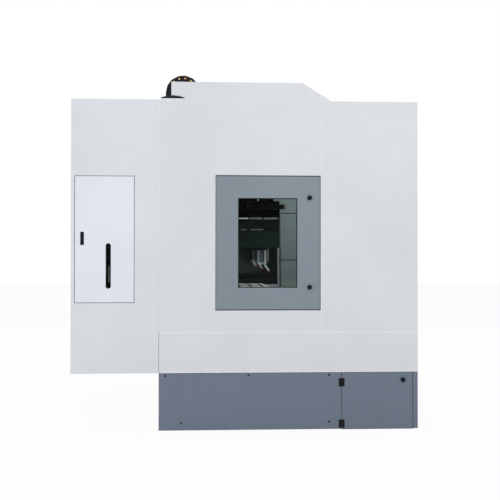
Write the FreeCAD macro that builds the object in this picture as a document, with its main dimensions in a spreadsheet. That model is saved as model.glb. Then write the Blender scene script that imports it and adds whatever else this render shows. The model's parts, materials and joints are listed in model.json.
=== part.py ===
import FreeCAD, Part
import math
import os
import re

import Sketcher
from FreeCAD import Rotation, Vector

# A three-axis vertical machining centre, millimetres.
# X runs to the operator's right, Y from the front doors to the rear cabinet and Z up.
# The origin is on the floor under the middle of the machine, and the origin pose has the
# spindle head low, the table at the rear of its travel and every door closed.

SIZES = {
    "enclosure": {
        "overall_width": 2300, "overall_depth": 2600, "roof_height": 2470, "hood_rise": 135,
        "base_height": 430, "strip_height": 300, "cabinet_depth": 650, "front_bay": 735,
        "skin": 3, "fold": 30, "seam": 4, "floor_gap": 4,
        "hood_rear_setback": 90, "hood_flat_end": 872, "hood_foot": 658,
        "frame_tube": 60, "beam_reach": 460, "beam_front_reach": 680, "beam_drop": 20,
        "chamber_gap": 50, "chamber_sill": 780, "chamber_front_reach": 320,
        "rear_wall_gap": 35, "low_wall_seam": 1266, "high_wall_seam": 1760,
        "wall_seam": 1,
    },
    "right side window": {
        "right_window_front": 883, "right_window_length": 477, "right_window_bottom": 1025,
        "right_window_height": 715, "right_window_reveal": 42, "right_window_lap": 15,
    },
    "bed and feet": {
        "foot_height": 60, "foot_half": 60, "foot_plate": 18, "foot_screw": 20,
        "foot_inset": 110, "bed_height": 540, "bed_width": 860, "bed_wall": 40,
        "bed_rib_height": 60, "bed_bays": 4,
        "bed_overhang": 40, "trough_half": 110, "trough_depth": 100, "shoulder_drop": 120,
    },
    "linear guides": {
        "rail_width": 45, "rail_height": 38, "block_height": 60, "block_length": 140,
        "block_width": 120, "block_lift": 8, "rail_play": 0.4,
        "y_rail_offset": 280, "x_rail_offset": 170, "z_rail_offset": 200,
        "y_block_offset": 175, "x_block_offset": 280, "z_block_offset": 120,
    },
    "ball screws": {
        "screw_radius": 16, "journal_radius": 11, "bore_play": 0.1, "bearing_half": 60,
        "bearing_length": 40, "nut_half": 50, "motor_half": 65, "motor_length": 165,
    },
    "travels": {
        "y_travel_front": 450, "y_travel_rear": 50, "z_travel_down": 90, "end_room": 30,
    },
    "saddle and table": {
        "saddle_height": 180, "saddle_length": 1440, "saddle_depth": 500, "saddle_trough": 70,
        "table_length": 1000, "table_depth": 500, "table_thickness": 140,
        "table_offset": 200, "slot_count": 5, "slot_pitch": 100, "slot_mouth": 18,
        "slot_base": 30, "slot_depth": 30, "slot_foot": 13,
    },
    "column": {
        "column_depth": 260, "column_width": 620, "column_setback": 10, "column_drop": 130,
        "channel_half": 95, "channel_depth": 90, "throat": 560,
        "column_foot": 80, "column_foot_spread": 50,
    },
    "spindle head": {
        "head_bottom": 1400, "head_height": 345, "head_half": 167, "head_front_reach": 153,
        "carriage_half": 270, "carriage_height": 410, "carriage_depth": 50,
        "cover_bottom": 1376, "cover_top": 1790, "cartridge_radius": 75, "cartridge_bottom": 1245,
        "cartridge_flange": 95, "flange_thickness": 24, "shaft_radius": 40, "nose_radius": 50,
        "nose_bottom": 1229, "taper_mouth": 22.2, "taper_end": 12.5, "taper_depth": 68,
        "spindle_motor_half": 110, "spindle_motor_top": 2070, "nozzle_radius": 8,
        "nozzle_pipe": 6.5, "nozzle_length": 74, "nozzle_tip_radius": 5,
        "nozzle_tip_length": 20, "nozzle_lean": 35,
        "nozzle_reach": 118, "coolant_block_half": 20, "coolant_block_drop": 20,
    },
    "tool magazine": {
        "pot_count": 12, "pot_circle": 270, "pot_radius": 37, "pot_length": 95, "disc_radius": 300,
        "pot_mouth": 24, "pot_throat": 14, "pot_depth": 70, "disc_window_inner": 95,
        "disc_window_outer": 205, "disc_windows": 6,
        "disc_thickness": 20, "disc_offset": 430, "magazine_height": 2090, "magazine_y": 200,
        "hub_radius": 60, "bracket_thickness": 25, "arm_pivot_x": 225, "arm_pivot_y": 100,
        "arm_half_length": 279, "arm_half_width": 35, "arm_thickness": 40, "arm_height": 1735,
        "gearbox_gap": 185,
    },
    "way covers": {
        "plate": 2, "plate_step": 2.4, "x_plate_length": 250, "x_cover_lift": 6,
        "x_cover_half": 260, "x_skirt_drop": 40, "y_cover_lift": 30, "y_cover_half": 400,
        "y_skirt_gap": 12, "y_wing_length": 280, "y_plate_lap": 50, "wall_room": 5,
        "carrier_bar": 25,
    },
    "side door": {
        "side_door_length": 785, "side_door_bottom": 899, "side_door_height": 1005,
        "door_gap": 4, "window_front_margin": 175, "window_length": 445, "window_bottom": 166,
        "window_height": 672, "glass": 6, "door_rim": 25, "window_rim": 20,
        "hinge_axis_depth": 12, "hinge_axis_offset": 28, "hinge_ear": 6, "hinge_pin": 3.5,
        "hinge_height": 70, "hinge_inset": 120, "pin_play": 0.1, "hinge_leaf": 4,
        "hinge_leaf_width": 34, "hinge_neck": 28,
    },
    "quarter-turn latches": {
        "knob_radius": 17, "knob_height": 18, "latch_shaft": 6, "latch_play": 0.3,
        "cam_length": 96, "cam_width": 16, "cam_thickness": 5, "cam_depth": 34,
        "side_latch_inset": 82, "side_latch_low": 170, "side_latch_high": 842,
    },
    "tank door": {
        "tank_door_front": 40, "tank_door_length": 538, "tank_door_rim": 20,
        "butt_barrel": 7, "butt_pin": 3, "butt_leaf": 2.5, "butt_leaf_width": 22,
        "butt_height": 60, "butt_low": 44, "butt_high": 354, "tank_latch_inset": 74,
        "tank_latch_height": 371,
    },
    "cabinet": {
        "cabinet_door_front": 185, "cabinet_door_length": 435, "cabinet_door_bottom": 957,
        "cabinet_door_height": 938, "lock_inset": 53, "lock_length": 105, "lock_width": 34,
        "lock_middle": 1432, "lock_depth": 22, "lock_flap": 6, "sight_front": 355,
        "sight_width": 38, "sight_bottom": 1059, "sight_height": 338,
        "mounting_plate_gap": 140,
    },
    "front": {
        "doorway_left": 330, "doorway_right": 430, "doorway_bottom": 760, "doorway_top": 2150,
        "front_door_overlap": 15, "front_door_handle_margin": 25, "front_door_back": 38,
        "front_window_left": 230, "front_window_right": 330,
        "front_window_bottom": 1150, "front_window_top": 1950, "handle_x": 392,
        "handle_radius": 9, "handle_bottom": 1230, "handle_top": 1530, "handle_stand": 28,
        "track_thickness": 20, "console_left": 560,
        "console_bottom": 950, "console_top": 1750, "console_depth": 150, "console_recess": 42,
        "screen_margin": 40, "screen_width": 400, "screen_bottom": 1420, "screen_top": 1700,
        "screen_recess": 6, "screen_thickness": 4,
        "button_row": 1050, "button_travel": 5, "stem_radius": 8, "stem_length": 30,
        "push_play": 0.3, "start_place": 155, "hold_place": 225, "stop_place": 440,
        "knob_place": 320, "wheel_place": 55,
    },
    "coolant tank": {
        "tank_gap": 35, "tank_top": 330, "tank_wall": 4, "pump_radius": 48,
        "supply_pipe": 12,
    },
    "cable chain": {
        "chain_radius": 108, "chain_height": 45, "chain_width": 52, "chain_plate": 4,
        "chain_inset": 95, "chain_rear_inset": 67, "chain_pitch": 46, "chain_rise": 46,
        "chain_bar": 5, "chain_play": 0.3, "chain_notch": 35, "collar_length": 76,
        "collar_height": 14, "collar_wall": 8,
    },
}

# Places that follow from the sizes, written once and used by every piece that meets there.
PLACES = {
    "side": "overall_width / 2",
    "front": "-overall_depth / 2",
    "rear": "overall_depth / 2",
    "back": "rear - cabinet_depth",
    "seam_half": "seam / 2",
    "ring_bottom": "base_height - seam_half",
    "strip_top": "base_height + strip_height",
    "hood_top": "roof_height + hood_rise",
    "hood_rear": "back - hood_rear_setback",
    "bay_seam": "front + front_bay",
    "frame_side": "side - fold",
    "frame_front": "front + fold",
    "chamber_half": "side - chamber_gap",
    "chamber_front": "front + chamber_front_reach",
    "rail_face": "back - column_setback - column_depth",
    "spindle_y": "rail_face - throat",
    "table_y": "spindle_y + table_offset",
    "bed_top": "foot_height + bed_height",
    "saddle_bottom": "bed_top + block_height",
    "saddle_top": "saddle_bottom + saddle_height",
    "table_bottom": "saddle_top + block_height",
    "table_top": "table_bottom + table_thickness",
    "saddle_front": "table_y - saddle_depth / 2",
    "saddle_rear": "table_y + saddle_depth / 2",
    "y_rail_front": "saddle_front - y_travel_front - end_room",
    "y_rail_rear": "saddle_rear + y_travel_rear + 20",
    "bed_front": "y_rail_front - bed_overhang",
    "bed_rear": "back - column_setback",
    "column_top": "roof_height - column_drop",
    "carriage_face": "rail_face - block_height",
    "carriage_top": "head_bottom + carriage_height",
    "rear_wall": "rail_face - rear_wall_gap",
    "y_screw_height": "bed_top - 10",
    "x_screw_height": "saddle_top - 5",
    "z_screw_y": "rail_face - 20",
    "x_cover_top": "table_bottom + x_cover_lift",
    "x_skirt_bottom": "saddle_top - x_skirt_drop",
    "y_cover_top": "saddle_bottom + y_cover_lift",
    "y_skirt_bottom": "bed_top + y_skirt_gap",
    "wing_end": "table_length / 2",
    "x_fixed_end": "chamber_half - wall_room - x_plate_length",
    "y_wing_front": "saddle_front - y_wing_length",
    "shoulder": "bed_top - shoulder_drop",
    "wall_top": "roof_height - skin - frame_tube",
    "wall_front": "frame_front + frame_tube",
    "side_door_front": "bay_seam + seam_half + 3",
    "side_door_rear": "side_door_front + side_door_length",
    "side_door_top": "side_door_bottom + side_door_height",
    "tank_front": "front + tank_door_front",
    "tank_rear": "tank_front + tank_door_length",
    "cabinet_door_start": "back + cabinet_door_front",
    "cabinet_door_end": "cabinet_door_start + cabinet_door_length",
    "cabinet_door_top": "cabinet_door_bottom + cabinet_door_height",
    "front_door_face": "front + front_door_back",
    "console_face": "front + console_recess",
    "console_right": "frame_side - frame_tube",
    "chain_y": "back - chain_rear_inset - chain_radius",
    "chain_x": "-side + chain_inset",
    "magazine_axis": "spindle_y + magazine_y",
    "right_window_start": "front + right_window_front",
    "right_window_end": "right_window_start + right_window_length",
}

document = FreeCAD.newDocument("machining_centre")
sheet = document.addObject("Spreadsheet::Sheet", "sizes")
row = 0
known = set()
for group_name, group_values in SIZES.items():
    row += 1
    sheet.set(f"A{row}", group_name)
    for alias, number in group_values.items():
        row += 1
        sheet.set(f"A{row}", alias)
        sheet.set(f"B{row}", str(number))
        sheet.setAlias(f"B{row}", alias)
        known.add(alias)
document.recompute()

nodes = []


def formula(text):
    """Spell out a rule in the sheet's own cells."""
    def word(match):
        name = match.group()
        if name in PLACES:
            return f"({formula(PLACES[name])})"
        return f"sizes.{name}" if name in known else name
    return re.sub(r"[a-z][a-z_0-9]*", word, str(text))


def bind(item, target, text):
    item.setExpression(target, formula(text))


def move(item, x=0, y=0, z=0, turn=None):
    """Turn an item, then bind its place."""
    if turn:
        item.Placement = FreeCAD.Placement(Vector(), turn)
    for letter, text in zip("xyz", (x, y, z)):
        bind(item, f"Placement.Base.{letter}", text)
    return item


def box(x_low, x_high, y_low, y_high, z_low, z_high):
    item = document.addObject("Part::Box", "block")
    bind(item, "Length", f"({x_high}) - ({x_low})")
    bind(item, "Width", f"({y_high}) - ({y_low})")
    bind(item, "Height", f"({z_high}) - ({z_low})")
    return move(item, x_low, y_low, z_low)


TURNS = {
    "x": Rotation(Vector(0, 1, 0), 90),
    "y": Rotation(Vector(1, 0, 0), -90),
    "z": Rotation(),
}


def rod(axis, x, y, z, radius, length):
    """A cylinder that starts at a point and runs along an axis."""
    item = document.addObject("Part::Cylinder", "rod")
    bind(item, "Radius", radius)
    bind(item, "Height", length)
    return move(item, x, y, z, TURNS[axis])


def prism(axis, x, y, z, radius, length):
    """An eight-sided bar that starts at a point and runs along an axis."""
    item = document.addObject("Part::Prism", "prism")
    item.Polygon = 8
    bind(item, "Circumradius", radius)
    bind(item, "Height", length)
    return move(item, x, y, z, TURNS[axis])


def cut(base, *tools):
    for tool in tools:
        item = document.addObject("Part::Cut", "cut")
        item.Base = base
        item.Tool = tool
        base = item
    return base


def fuse(*items):
    item = document.addObject("Part::MultiFuse", "joined")
    item.Shapes = list(items)
    return item


def group(*items):
    item = document.addObject("Part::Compound", "group")
    item.Links = list(items)
    return item


def node(name, *items):
    """Name a finished sub-part, as one piece or as a group of like pieces."""
    item = items[0] if len(items) == 1 else group(*items)
    item.Label = name
    nodes.append(item)
    return item


def add_outline(sketch, points):
    """A closed outline of straight lines whose corners are bound to the sheet."""
    start = sketch.GeometryCount
    count = len(points)
    for index in range(count):
        a = Vector(index * 10, (index * index) % 7 * 10, 0)
        b = Vector(index * 10 + 10, ((index + 1) * (index + 1)) % 7 * 10, 0)
        sketch.addGeometry(Part.LineSegment(a, b))
    for index in range(count):
        following = start + (index + 1) % count
        sketch.addConstraint(Sketcher.Constraint("Coincident", start + index, 2, following, 1))
    for index, (across, up) in enumerate(points):
        for kind, text in (("DistanceX", across), ("DistanceY", up)):
            number = sketch.addConstraint(Sketcher.Constraint(kind, start + index, 1, 1.0))
            bind(sketch, f"Constraints[{number}]", text)


def new_body():
    return document.addObject("PartDesign::Body", "body")


def sketch_on(body, plane, outlines, offset="0"):
    """A sketch of closed outlines on one of the body's own planes, set off along its normal."""
    sketch = body.newObject("Sketcher::SketchObject", "sketch")
    role = plane.upper() + "_Plane"
    face = [item for item in body.Origin.OriginFeatures if item.Role == role][0]
    sketch.AttachmentSupport = [(face, "")]
    sketch.MapMode = "FlatFace"
    bind(sketch, ".AttachmentOffset.Base.z", offset)
    for outline in outlines:
        add_outline(sketch, outline)
    return sketch


def pad(body, plane, low, high, *outlines):
    """Thicken outlines between two levels of the axis across the plane."""
    backward = plane == "xz"
    offset = f"-({high})" if backward else low
    feature = body.newObject("PartDesign::Pad", "pad")
    feature.Profile = sketch_on(body, plane, outlines, offset)
    bind(feature, "Length", f"({high}) - ({low})")
    return feature


def pocket(body, plane, low, high, *outlines):
    """Cut outlines away between two levels of the axis across the plane."""
    backward = plane == "xz"
    offset = f"-({low})" if backward else high
    feature = body.newObject("PartDesign::Pocket", "pocket")
    feature.Profile = sketch_on(body, plane, outlines, offset)
    bind(feature, "Length", f"({high}) - ({low})")
    return feature


def turned(axis, x, y, z, *points):
    """A revolved piece: points are radius and distance along the axis."""
    body = new_body()
    sketch = sketch_on(body, "xz", [points])
    feature = body.newObject("PartDesign::Revolution", "revolution")
    feature.Profile = sketch
    feature.ReferenceAxis = (sketch, ["V_Axis"])
    feature.Angle = 360
    return move(body, x, y, z, TURNS[axis])


def rectangle(low_a, high_a, low_b, high_b):
    return [(low_a, low_b), (high_a, low_b), (high_a, high_b), (low_a, high_b)]


def side_pan(face, inward, y_low, y_high, z_low, z_high, depth="fold"):
    """A folded sheet whose skin stands across X, with its edges turned inward."""
    if inward > 0:
        outer = (face, f"({face}) + ({depth})")
        inner = (f"({face}) + skin", f"({face}) + ({depth})")
    else:
        outer = (f"({face}) - ({depth})", face)
        inner = (f"({face}) - ({depth})", f"({face}) - skin")
    return cut(
        box(*outer, y_low, y_high, z_low, z_high),
        box(*inner, f"({y_low}) + skin", f"({y_high}) - skin",
            f"({z_low}) + skin", f"({z_high}) - skin"),
    )


def front_pan(face, inward, x_low, x_high, z_low, z_high, depth="fold"):
    """A folded sheet whose skin stands across Y, with its edges turned inward."""
    if inward > 0:
        outer = (face, f"({face}) + ({depth})")
        inner = (f"({face}) + skin", f"({face}) + ({depth})")
    else:
        outer = (f"({face}) - ({depth})", face)
        inner = (f"({face}) - ({depth})", f"({face}) - skin")
    return cut(
        box(x_low, x_high, *outer, z_low, z_high),
        box(f"({x_low}) + skin", f"({x_high}) - skin", *inner,
            f"({z_low}) + skin", f"({z_high}) - skin"),
    )


def polygon(across, up, radius, corners, start=0):
    """The corners of a regular polygon about a centre."""
    turns = [f"({start} + {index} * 360 / {corners})" for index in range(corners)]
    return [(f"{across} + ({radius}) * cos{turn}", f"{up} + ({radius}) * sin{turn}")
            for turn in turns]


# ---------------------------------------------------------------- bed and feet

def levelling_foot(x, y):
    """A square foot plate with the six-sided jack screw that carries the bed."""
    screw = document.addObject("Part::Prism", "jack_screw")
    screw.Polygon = 6
    bind(screw, "Circumradius", "foot_screw")
    bind(screw, "Height", "foot_height - foot_plate")
    return fuse(
        box(f"{x} - foot_half", f"{x} + foot_half", f"{y} - foot_half", f"{y} + foot_half",
            "0", "foot_plate"),
        move(screw, x, y, "foot_plate"),
    )


def bed():
    """The cast bed: a tapered section with a screw trough, hollow below between its ribs."""
    body = new_body()
    half = "bed_width / 2"
    pad(body, "xz", "bed_front", "bed_rear", [
        (f"-{half}", "foot_height"), (half, "foot_height"), (half, "shoulder"),
        ("y_rail_offset + 75", "bed_top - 40"), ("y_rail_offset + 75", "bed_top"),
        ("trough_half", "bed_top"), ("trough_half", "bed_top - trough_depth"),
        ("-trough_half", "bed_top - trough_depth"), ("-trough_half", "bed_top"),
        ("-y_rail_offset - 75", "bed_top"), ("-y_rail_offset - 75", "bed_top - 40"),
        (f"-{half}", "shoulder"),
    ])
    bay = "(bed_rear - bed_front - bed_wall * (bed_bays + 1)) / bed_bays"
    first = "bed_front + bed_wall"
    last = "bed_rear - bed_wall"
    cell_top = "bed_top - trough_depth - bed_wall"
    for sign in (-1, 1):
        near = f"{sign} * bed_wall / 2"
        far = f"{sign} * (bed_width / 2 - bed_wall)"
        low, high = (near, far) if sign > 0 else (far, near)
        pocket(body, "xy", "foot_height", f"{cell_top} - bed_rib_height",
               rectangle(low, high, first, last))
        hollow = pocket(body, "xy", f"{cell_top} - bed_rib_height - 1", cell_top,
                        rectangle(low, high, first, f"{first} + {bay}"))
        cells = body.newObject("PartDesign::LinearPattern", "cells")
        cells.Originals = [hollow]
        cells.Direction = (hollow.Profile[0], ["V_Axis"])
        bind(cells, "Length", f"(bed_bays - 1) * ({bay} + bed_wall)")
        bind(cells, "Occurrences", "bed_bays")
        body.Tip = cells
    return body


def guide_rail(axis, start, end, across, face, outward=1):
    """One profiled rail with waisted sides, lying on its seat along an axis."""
    half = "rail_width / 2"
    waist = "(rail_width / 2 - 6)"
    height = f"{outward} * rail_height"
    section = [
        (f"{across} - {half}", face), (f"{across} + {half}", face),
        (f"{across} + {half}", f"{face} + {height} * 0.3"),
        (f"{across} + {waist}", f"{face} + {height} * 0.45"),
        (f"{across} + {waist}", f"{face} + {height} * 0.7"),
        (f"{across} + {half}", f"{face} + {height} * 0.85"),
        (f"{across} + {half}", f"{face} + {height}"),
        (f"{across} - {half}", f"{face} + {height}"),
        (f"{across} - {half}", f"{face} + {height} * 0.85"),
        (f"{across} - {waist}", f"{face} + {height} * 0.7"),
        (f"{across} - {waist}", f"{face} + {height} * 0.45"),
        (f"{across} - {half}", f"{face} + {height} * 0.3"),
    ]
    body = new_body()
    plane = {"x": "yz", "y": "xz", "z": "xy"}[axis]
    pad(body, plane, start, end, section)
    return body


def guide_block(axis, middle, across, face, outward=1):
    """A carriage that straddles a rail, open on the rail's side."""
    half = "block_width / 2"
    inner = "(rail_width / 2 + rail_play)"
    low = f"{face} + {outward} * block_lift"
    roof = f"{face} + {outward} * (rail_height + rail_play)"
    top = f"{face} + {outward} * block_height"
    section = [
        (f"{across} - {half}", low), (f"{across} - {inner}", low),
        (f"{across} - {inner}", roof), (f"{across} + {inner}", roof),
        (f"{across} + {inner}", low), (f"{across} + {half}", low),
        (f"{across} + {half}", top), (f"{across} - {half}", top),
    ]
    body = new_body()
    plane = {"x": "yz", "y": "xz", "z": "xy"}[axis]
    pad(body, plane, f"{middle} - block_length / 2", f"{middle} + block_length / 2", section)
    return body


def ball_screw(axis, x, y, z, length):
    """A screw with its bearing journals turned down at both ends."""
    shoulder = "bearing_length"
    return turned(
        axis, x, y, z,
        ("0", "0"), ("journal_radius", "0"), ("journal_radius", shoulder),
        ("screw_radius", shoulder), ("screw_radius", f"({length}) - ({shoulder})"),
        ("journal_radius", f"({length}) - ({shoulder})"), ("journal_radius", length),
        ("0", length),
    )


def bearing_support(axis, x, y, z, seat):
    """A bearing housing on a flat seat, bored for the screw's journal."""
    half = "bearing_half"
    bore = "journal_radius + bore_play"
    if axis == "y":
        block = box(f"{x} - {half}", f"{x} + {half}", y, f"({y}) + bearing_length",
                    seat, f"{z} + {half} - 12")
        return cut(block, rod("y", x, f"({y}) - 1", z, bore, "bearing_length + 2"))
    if axis == "x":
        block = box(x, f"({x}) + bearing_length", f"{y} - {half}", f"{y} + {half}",
                    seat, f"{z} + 40")
        return cut(block, rod("x", f"({x}) - 1", y, z, bore, "bearing_length + 2"))
    block = box(f"{x} - {half}", f"{x} + {half}", f"{y} - 30", seat,
                z, f"({z}) + bearing_length")
    return cut(block, rod("z", x, y, f"({z}) - 1", bore, "bearing_length + 2"))


def servo_motor(axis, x, y, z):
    """A square servo motor with a smaller encoder cap, its face against the screw's end."""
    half = "motor_half"
    cap = "motor_half - 12"
    if axis == "y":
        frame = box(f"{x} - {half}", f"{x} + {half}", f"({y}) - motor_length", y,
                    f"{z} - {half}", f"{z} + {half} - 20")
        end = box(f"{x} - {cap}", f"{x} + {cap}", f"({y}) - motor_length - 35",
                  f"({y}) - motor_length", f"{z} - {cap}", f"{z} + {cap} - 20")
    elif axis == "x":
        frame = box(x, f"({x}) + motor_length", f"{y} - {half}", f"{y} + {half}",
                    f"{z} - {half}", f"{z} + {half} - 10")
        end = box(f"({x}) + motor_length", f"({x}) + motor_length + 30", f"{y} - {cap}",
                  f"{y} + {cap}", f"{z} - {cap}", f"{z} + {cap} - 10")
    else:
        frame = box(f"{x} - {half}", f"{x} + {half}", f"{y} - {half}", f"{y} + {half}",
                    z, f"({z}) + motor_length")
        end = box(f"{x} - {cap}", f"{x} + {cap}", f"{y} - {cap}", f"{y} + {cap}",
                  f"({z}) + motor_length", f"({z}) + motor_length + 30")
    return fuse(frame, end)


node("bed_casting", bed())
foot_rows = ("bed_front + foot_inset", "(bed_front + bed_rear) / 2", "bed_rear - foot_inset")
node("levelling_feet", *[
    levelling_foot(f"{sign} * (bed_width - bed_wall) / 2", place)
    for place in foot_rows for sign in (-1, 1)
])

# ---------------------------------------------------------------- saddle and table

y_screw_start = "y_rail_front - bearing_length + 10"
y_screw_length = f"y_rail_rear - 10 - ({y_screw_start})"
node("y_ball_screw", ball_screw("y", "0", y_screw_start, "y_screw_height", y_screw_length))

x_screw_start = "-saddle_length / 2 + 20"
x_screw_length = f"saddle_length / 2 - ({x_screw_start})"
node("x_ball_screw", ball_screw("x", x_screw_start, "table_y", "x_screw_height",
                                x_screw_length))


def saddle():
    """The cross slide: a wide casting with tapered wings, a screw trough and its nut boss."""
    body = new_body()
    half = "saddle_length / 2"
    pad(body, "xz", "saddle_front", "saddle_rear", [
        ("-y_rail_offset - 90", "saddle_bottom"), ("y_rail_offset + 90", "saddle_bottom"),
        (half, "saddle_bottom + 70"), (half, "saddle_top"), (f"-{half}", "saddle_top"),
        (f"-{half}", "saddle_bottom + 70"),
    ])
    pocket(body, "xy", "x_screw_height - 65", "saddle_top + 1",
           rectangle(f"-{half} - 1", f"{half} + 1", "table_y - saddle_trough",
                     "table_y + saddle_trough"))
    pad(body, "xz", "table_y - nut_half", "table_y + nut_half",
        rectangle("-nut_half", "nut_half", "y_screw_height - 42", "saddle_bottom"))
    bore = turned_hole(body, "y", "0", "y_screw_height", "screw_radius + bore_play",
                       "table_y - nut_half - 1", "table_y + nut_half + 1")
    return bore


def circle_on(body, plane, across, up, radius, offset):
    """A sketch of one circle, its centre and radius bound to the sheet."""
    sketch = sketch_on(body, plane, [], offset)
    sketch.addGeometry(Part.Circle(Vector(20, 30, 0), Vector(0, 0, 1), 10))
    number = sketch.addConstraint(Sketcher.Constraint("DistanceX", 0, 3, 20.0))
    bind(sketch, f"Constraints[{number}]", across)
    number = sketch.addConstraint(Sketcher.Constraint("DistanceY", 0, 3, 30.0))
    bind(sketch, f"Constraints[{number}]", up)
    number = sketch.addConstraint(Sketcher.Constraint("Radius", 0, 10.0))
    bind(sketch, f"Constraints[{number}]", radius)
    return sketch


def turned_hole(body, axis, across, up, radius, low, high):
    """Bore a round hole through a body along an axis, between two levels."""
    plane = {"x": "yz", "y": "xz", "z": "xy"}[axis]
    offset = f"-({low})" if axis == "y" else high
    feature = body.newObject("PartDesign::Pocket", "bore")
    feature.Profile = circle_on(body, plane, across, up, radius, offset)
    bind(feature, "Length", f"({high}) - ({low})")
    return body


node("saddle", saddle())
node("y_guide_blocks", *[
    guide_block("y", f"table_y + {row_sign} * y_block_offset", f"{sign} * y_rail_offset",
                "bed_top")
    for sign in (-1, 1) for row_sign in (-1, 1)
])
node("x_guide_rails", *[
    guide_rail("x", "-saddle_length / 2 + 20", "saddle_length / 2 - 20",
               f"table_y + {sign} * x_rail_offset", "saddle_top")
    for sign in (-1, 1)
])
node(
    "x_drive_unit",
    servo_motor("x", "saddle_length / 2", "table_y", "x_screw_height"),
    bearing_support("x", x_screw_start, "table_y", "x_screw_height", "x_screw_height - 65"),
    bearing_support("x", "saddle_length / 2 - bearing_length", "table_y",
                    "x_screw_height", "x_screw_height - 65"),
)


def table():
    """The work table: a plate with T-slots along X, a raised rim underneath and its nut boss."""
    body = new_body()
    half = "table_length / 2"
    pad(body, "yz", f"-{half}", half,
        rectangle("table_y - table_depth / 2", "table_y + table_depth / 2",
                  "table_bottom", "table_top"))
    first = "table_y - slot_pitch * (slot_count - 1) / 2"
    slot = pocket(body, "yz", f"-{half} - 1", f"{half} + 1", [
        (f"{first} - slot_mouth / 2", "table_top + 1"),
        (f"{first} - slot_mouth / 2", "table_top - slot_depth + slot_foot"),
        (f"{first} - slot_base / 2", "table_top - slot_depth + slot_foot"),
        (f"{first} - slot_base / 2", "table_top - slot_depth"),
        (f"{first} + slot_base / 2", "table_top - slot_depth"),
        (f"{first} + slot_base / 2", "table_top - slot_depth + slot_foot"),
        (f"{first} + slot_mouth / 2", "table_top - slot_depth + slot_foot"),
        (f"{first} + slot_mouth / 2", "table_top + 1"),
    ])
    slots = body.newObject("PartDesign::LinearPattern", "slots")
    slots.Originals = [slot]
    slots.Direction = (slot.Profile[0], ["H_Axis"])
    bind(slots, "Length", "slot_pitch * (slot_count - 1)")
    bind(slots, "Occurrences", "slot_count")
    body.Tip = slots
    pad(body, "yz", "-nut_half", "nut_half",
        rectangle("table_y - nut_half", "table_y + nut_half", "x_screw_height - 40",
                  "table_bottom"))
    turned_hole(body, "x", "table_y", "x_screw_height", "screw_radius + bore_play",
                "-nut_half - 1", "nut_half + 1")
    return body


node("table", table())
node("x_guide_blocks", *[
    guide_block("x", f"{sign} * x_block_offset", f"table_y + {row_sign} * x_rail_offset",
                "saddle_top")
    for sign in (-1, 1) for row_sign in (-1, 1)
])

# ---------------------------------------------------------------- column and head

z_screw_start = "head_bottom - z_travel_down - 120"
z_screw_length = f"column_top - ({z_screw_start})"


def column():
    """The cast column: a heavy section with a channel for the screw and a wide foot."""
    body = new_body()
    half = "column_width / 2"
    pad(body, "xy", "bed_top", "column_top", [
        (f"-{half}", "rail_face"), ("-channel_half", "rail_face"),
        ("-channel_half", "rail_face + channel_depth"),
        ("channel_half", "rail_face + channel_depth"), ("channel_half", "rail_face"),
        (half, "rail_face"), (half, "bed_rear"), (f"-{half}", "bed_rear"),
    ])
    pad(body, "xy", "bed_top", "bed_top + column_foot",
        rectangle(f"-{half} - column_foot_spread", f"{half} + column_foot_spread",
                  "rail_face - 20", "bed_rear"))
    return body


node("column_casting", column())
rail_seats = [
    guide_rail("y", "y_rail_front", "y_rail_rear", f"{sign} * y_rail_offset", "bed_top")
    for sign in (-1, 1)
]
rail_seats += [
    guide_rail("z", z_screw_start, "column_top - 5", f"{sign} * z_rail_offset",
               "rail_face", -1)
    for sign in (-1, 1)
]
node("guide_rails", *rail_seats)
node(
    "feed_drive_units",
    servo_motor("y", "0", y_screw_start, "y_screw_height"),
    bearing_support("y", "0", y_screw_start, "y_screw_height", "bed_top - trough_depth"),
    bearing_support("y", "0", "y_rail_rear - 10 - bearing_length", "y_screw_height",
                    "bed_top - trough_depth"),
    bearing_support("z", "0", "z_screw_y", "column_top - bearing_length",
                    "rail_face + channel_depth"),
    bearing_support("z", "0", "z_screw_y", z_screw_start, "rail_face + channel_depth"),
    servo_motor("z", "0", "z_screw_y", "column_top"),
)
node("z_ball_screw", ball_screw("z", "0", "z_screw_y", z_screw_start, z_screw_length))


def spindle_head():
    """The head casting: a carriage plate on the guides, a body forward of it and a nut boss."""
    body = new_body()
    front_face = "spindle_y - head_front_reach"
    top = "head_bottom + head_height"
    pad(body, "yz", "-head_half", "head_half", [
        ("carriage_face", "head_bottom"), ("carriage_face", "carriage_top"),
        ("carriage_face - 90", "carriage_top"), ("carriage_face - 190", top),
        (front_face, top), (front_face, "head_bottom"),
    ])
    pad(body, "xz", "carriage_face - carriage_depth", "carriage_face",
        rectangle("-carriage_half", "carriage_half", "head_bottom", "carriage_top"))
    nut_low = "head_bottom + 150"
    pad(body, "xy", nut_low, "head_bottom + 240",
        rectangle("-nut_half", "nut_half", "carriage_face", "z_screw_y + 40"))
    turned_hole(body, "z", "0", "z_screw_y", "screw_radius + bore_play", f"{nut_low} - 1",
                "head_bottom + 241")
    turned_hole(body, "z", "0", "spindle_y", "cartridge_radius - 5", "head_bottom - 1",
                f"{top} + 1")
    return body


node("spindle_head", spindle_head())
node("z_guide_blocks", *[
    guide_block("z", f"head_bottom + carriage_height / 2 + {row_sign} * z_block_offset",
                f"{sign} * z_rail_offset", "rail_face", -1)
    for sign in (-1, 1) for row_sign in (-1, 1)
])


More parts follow.
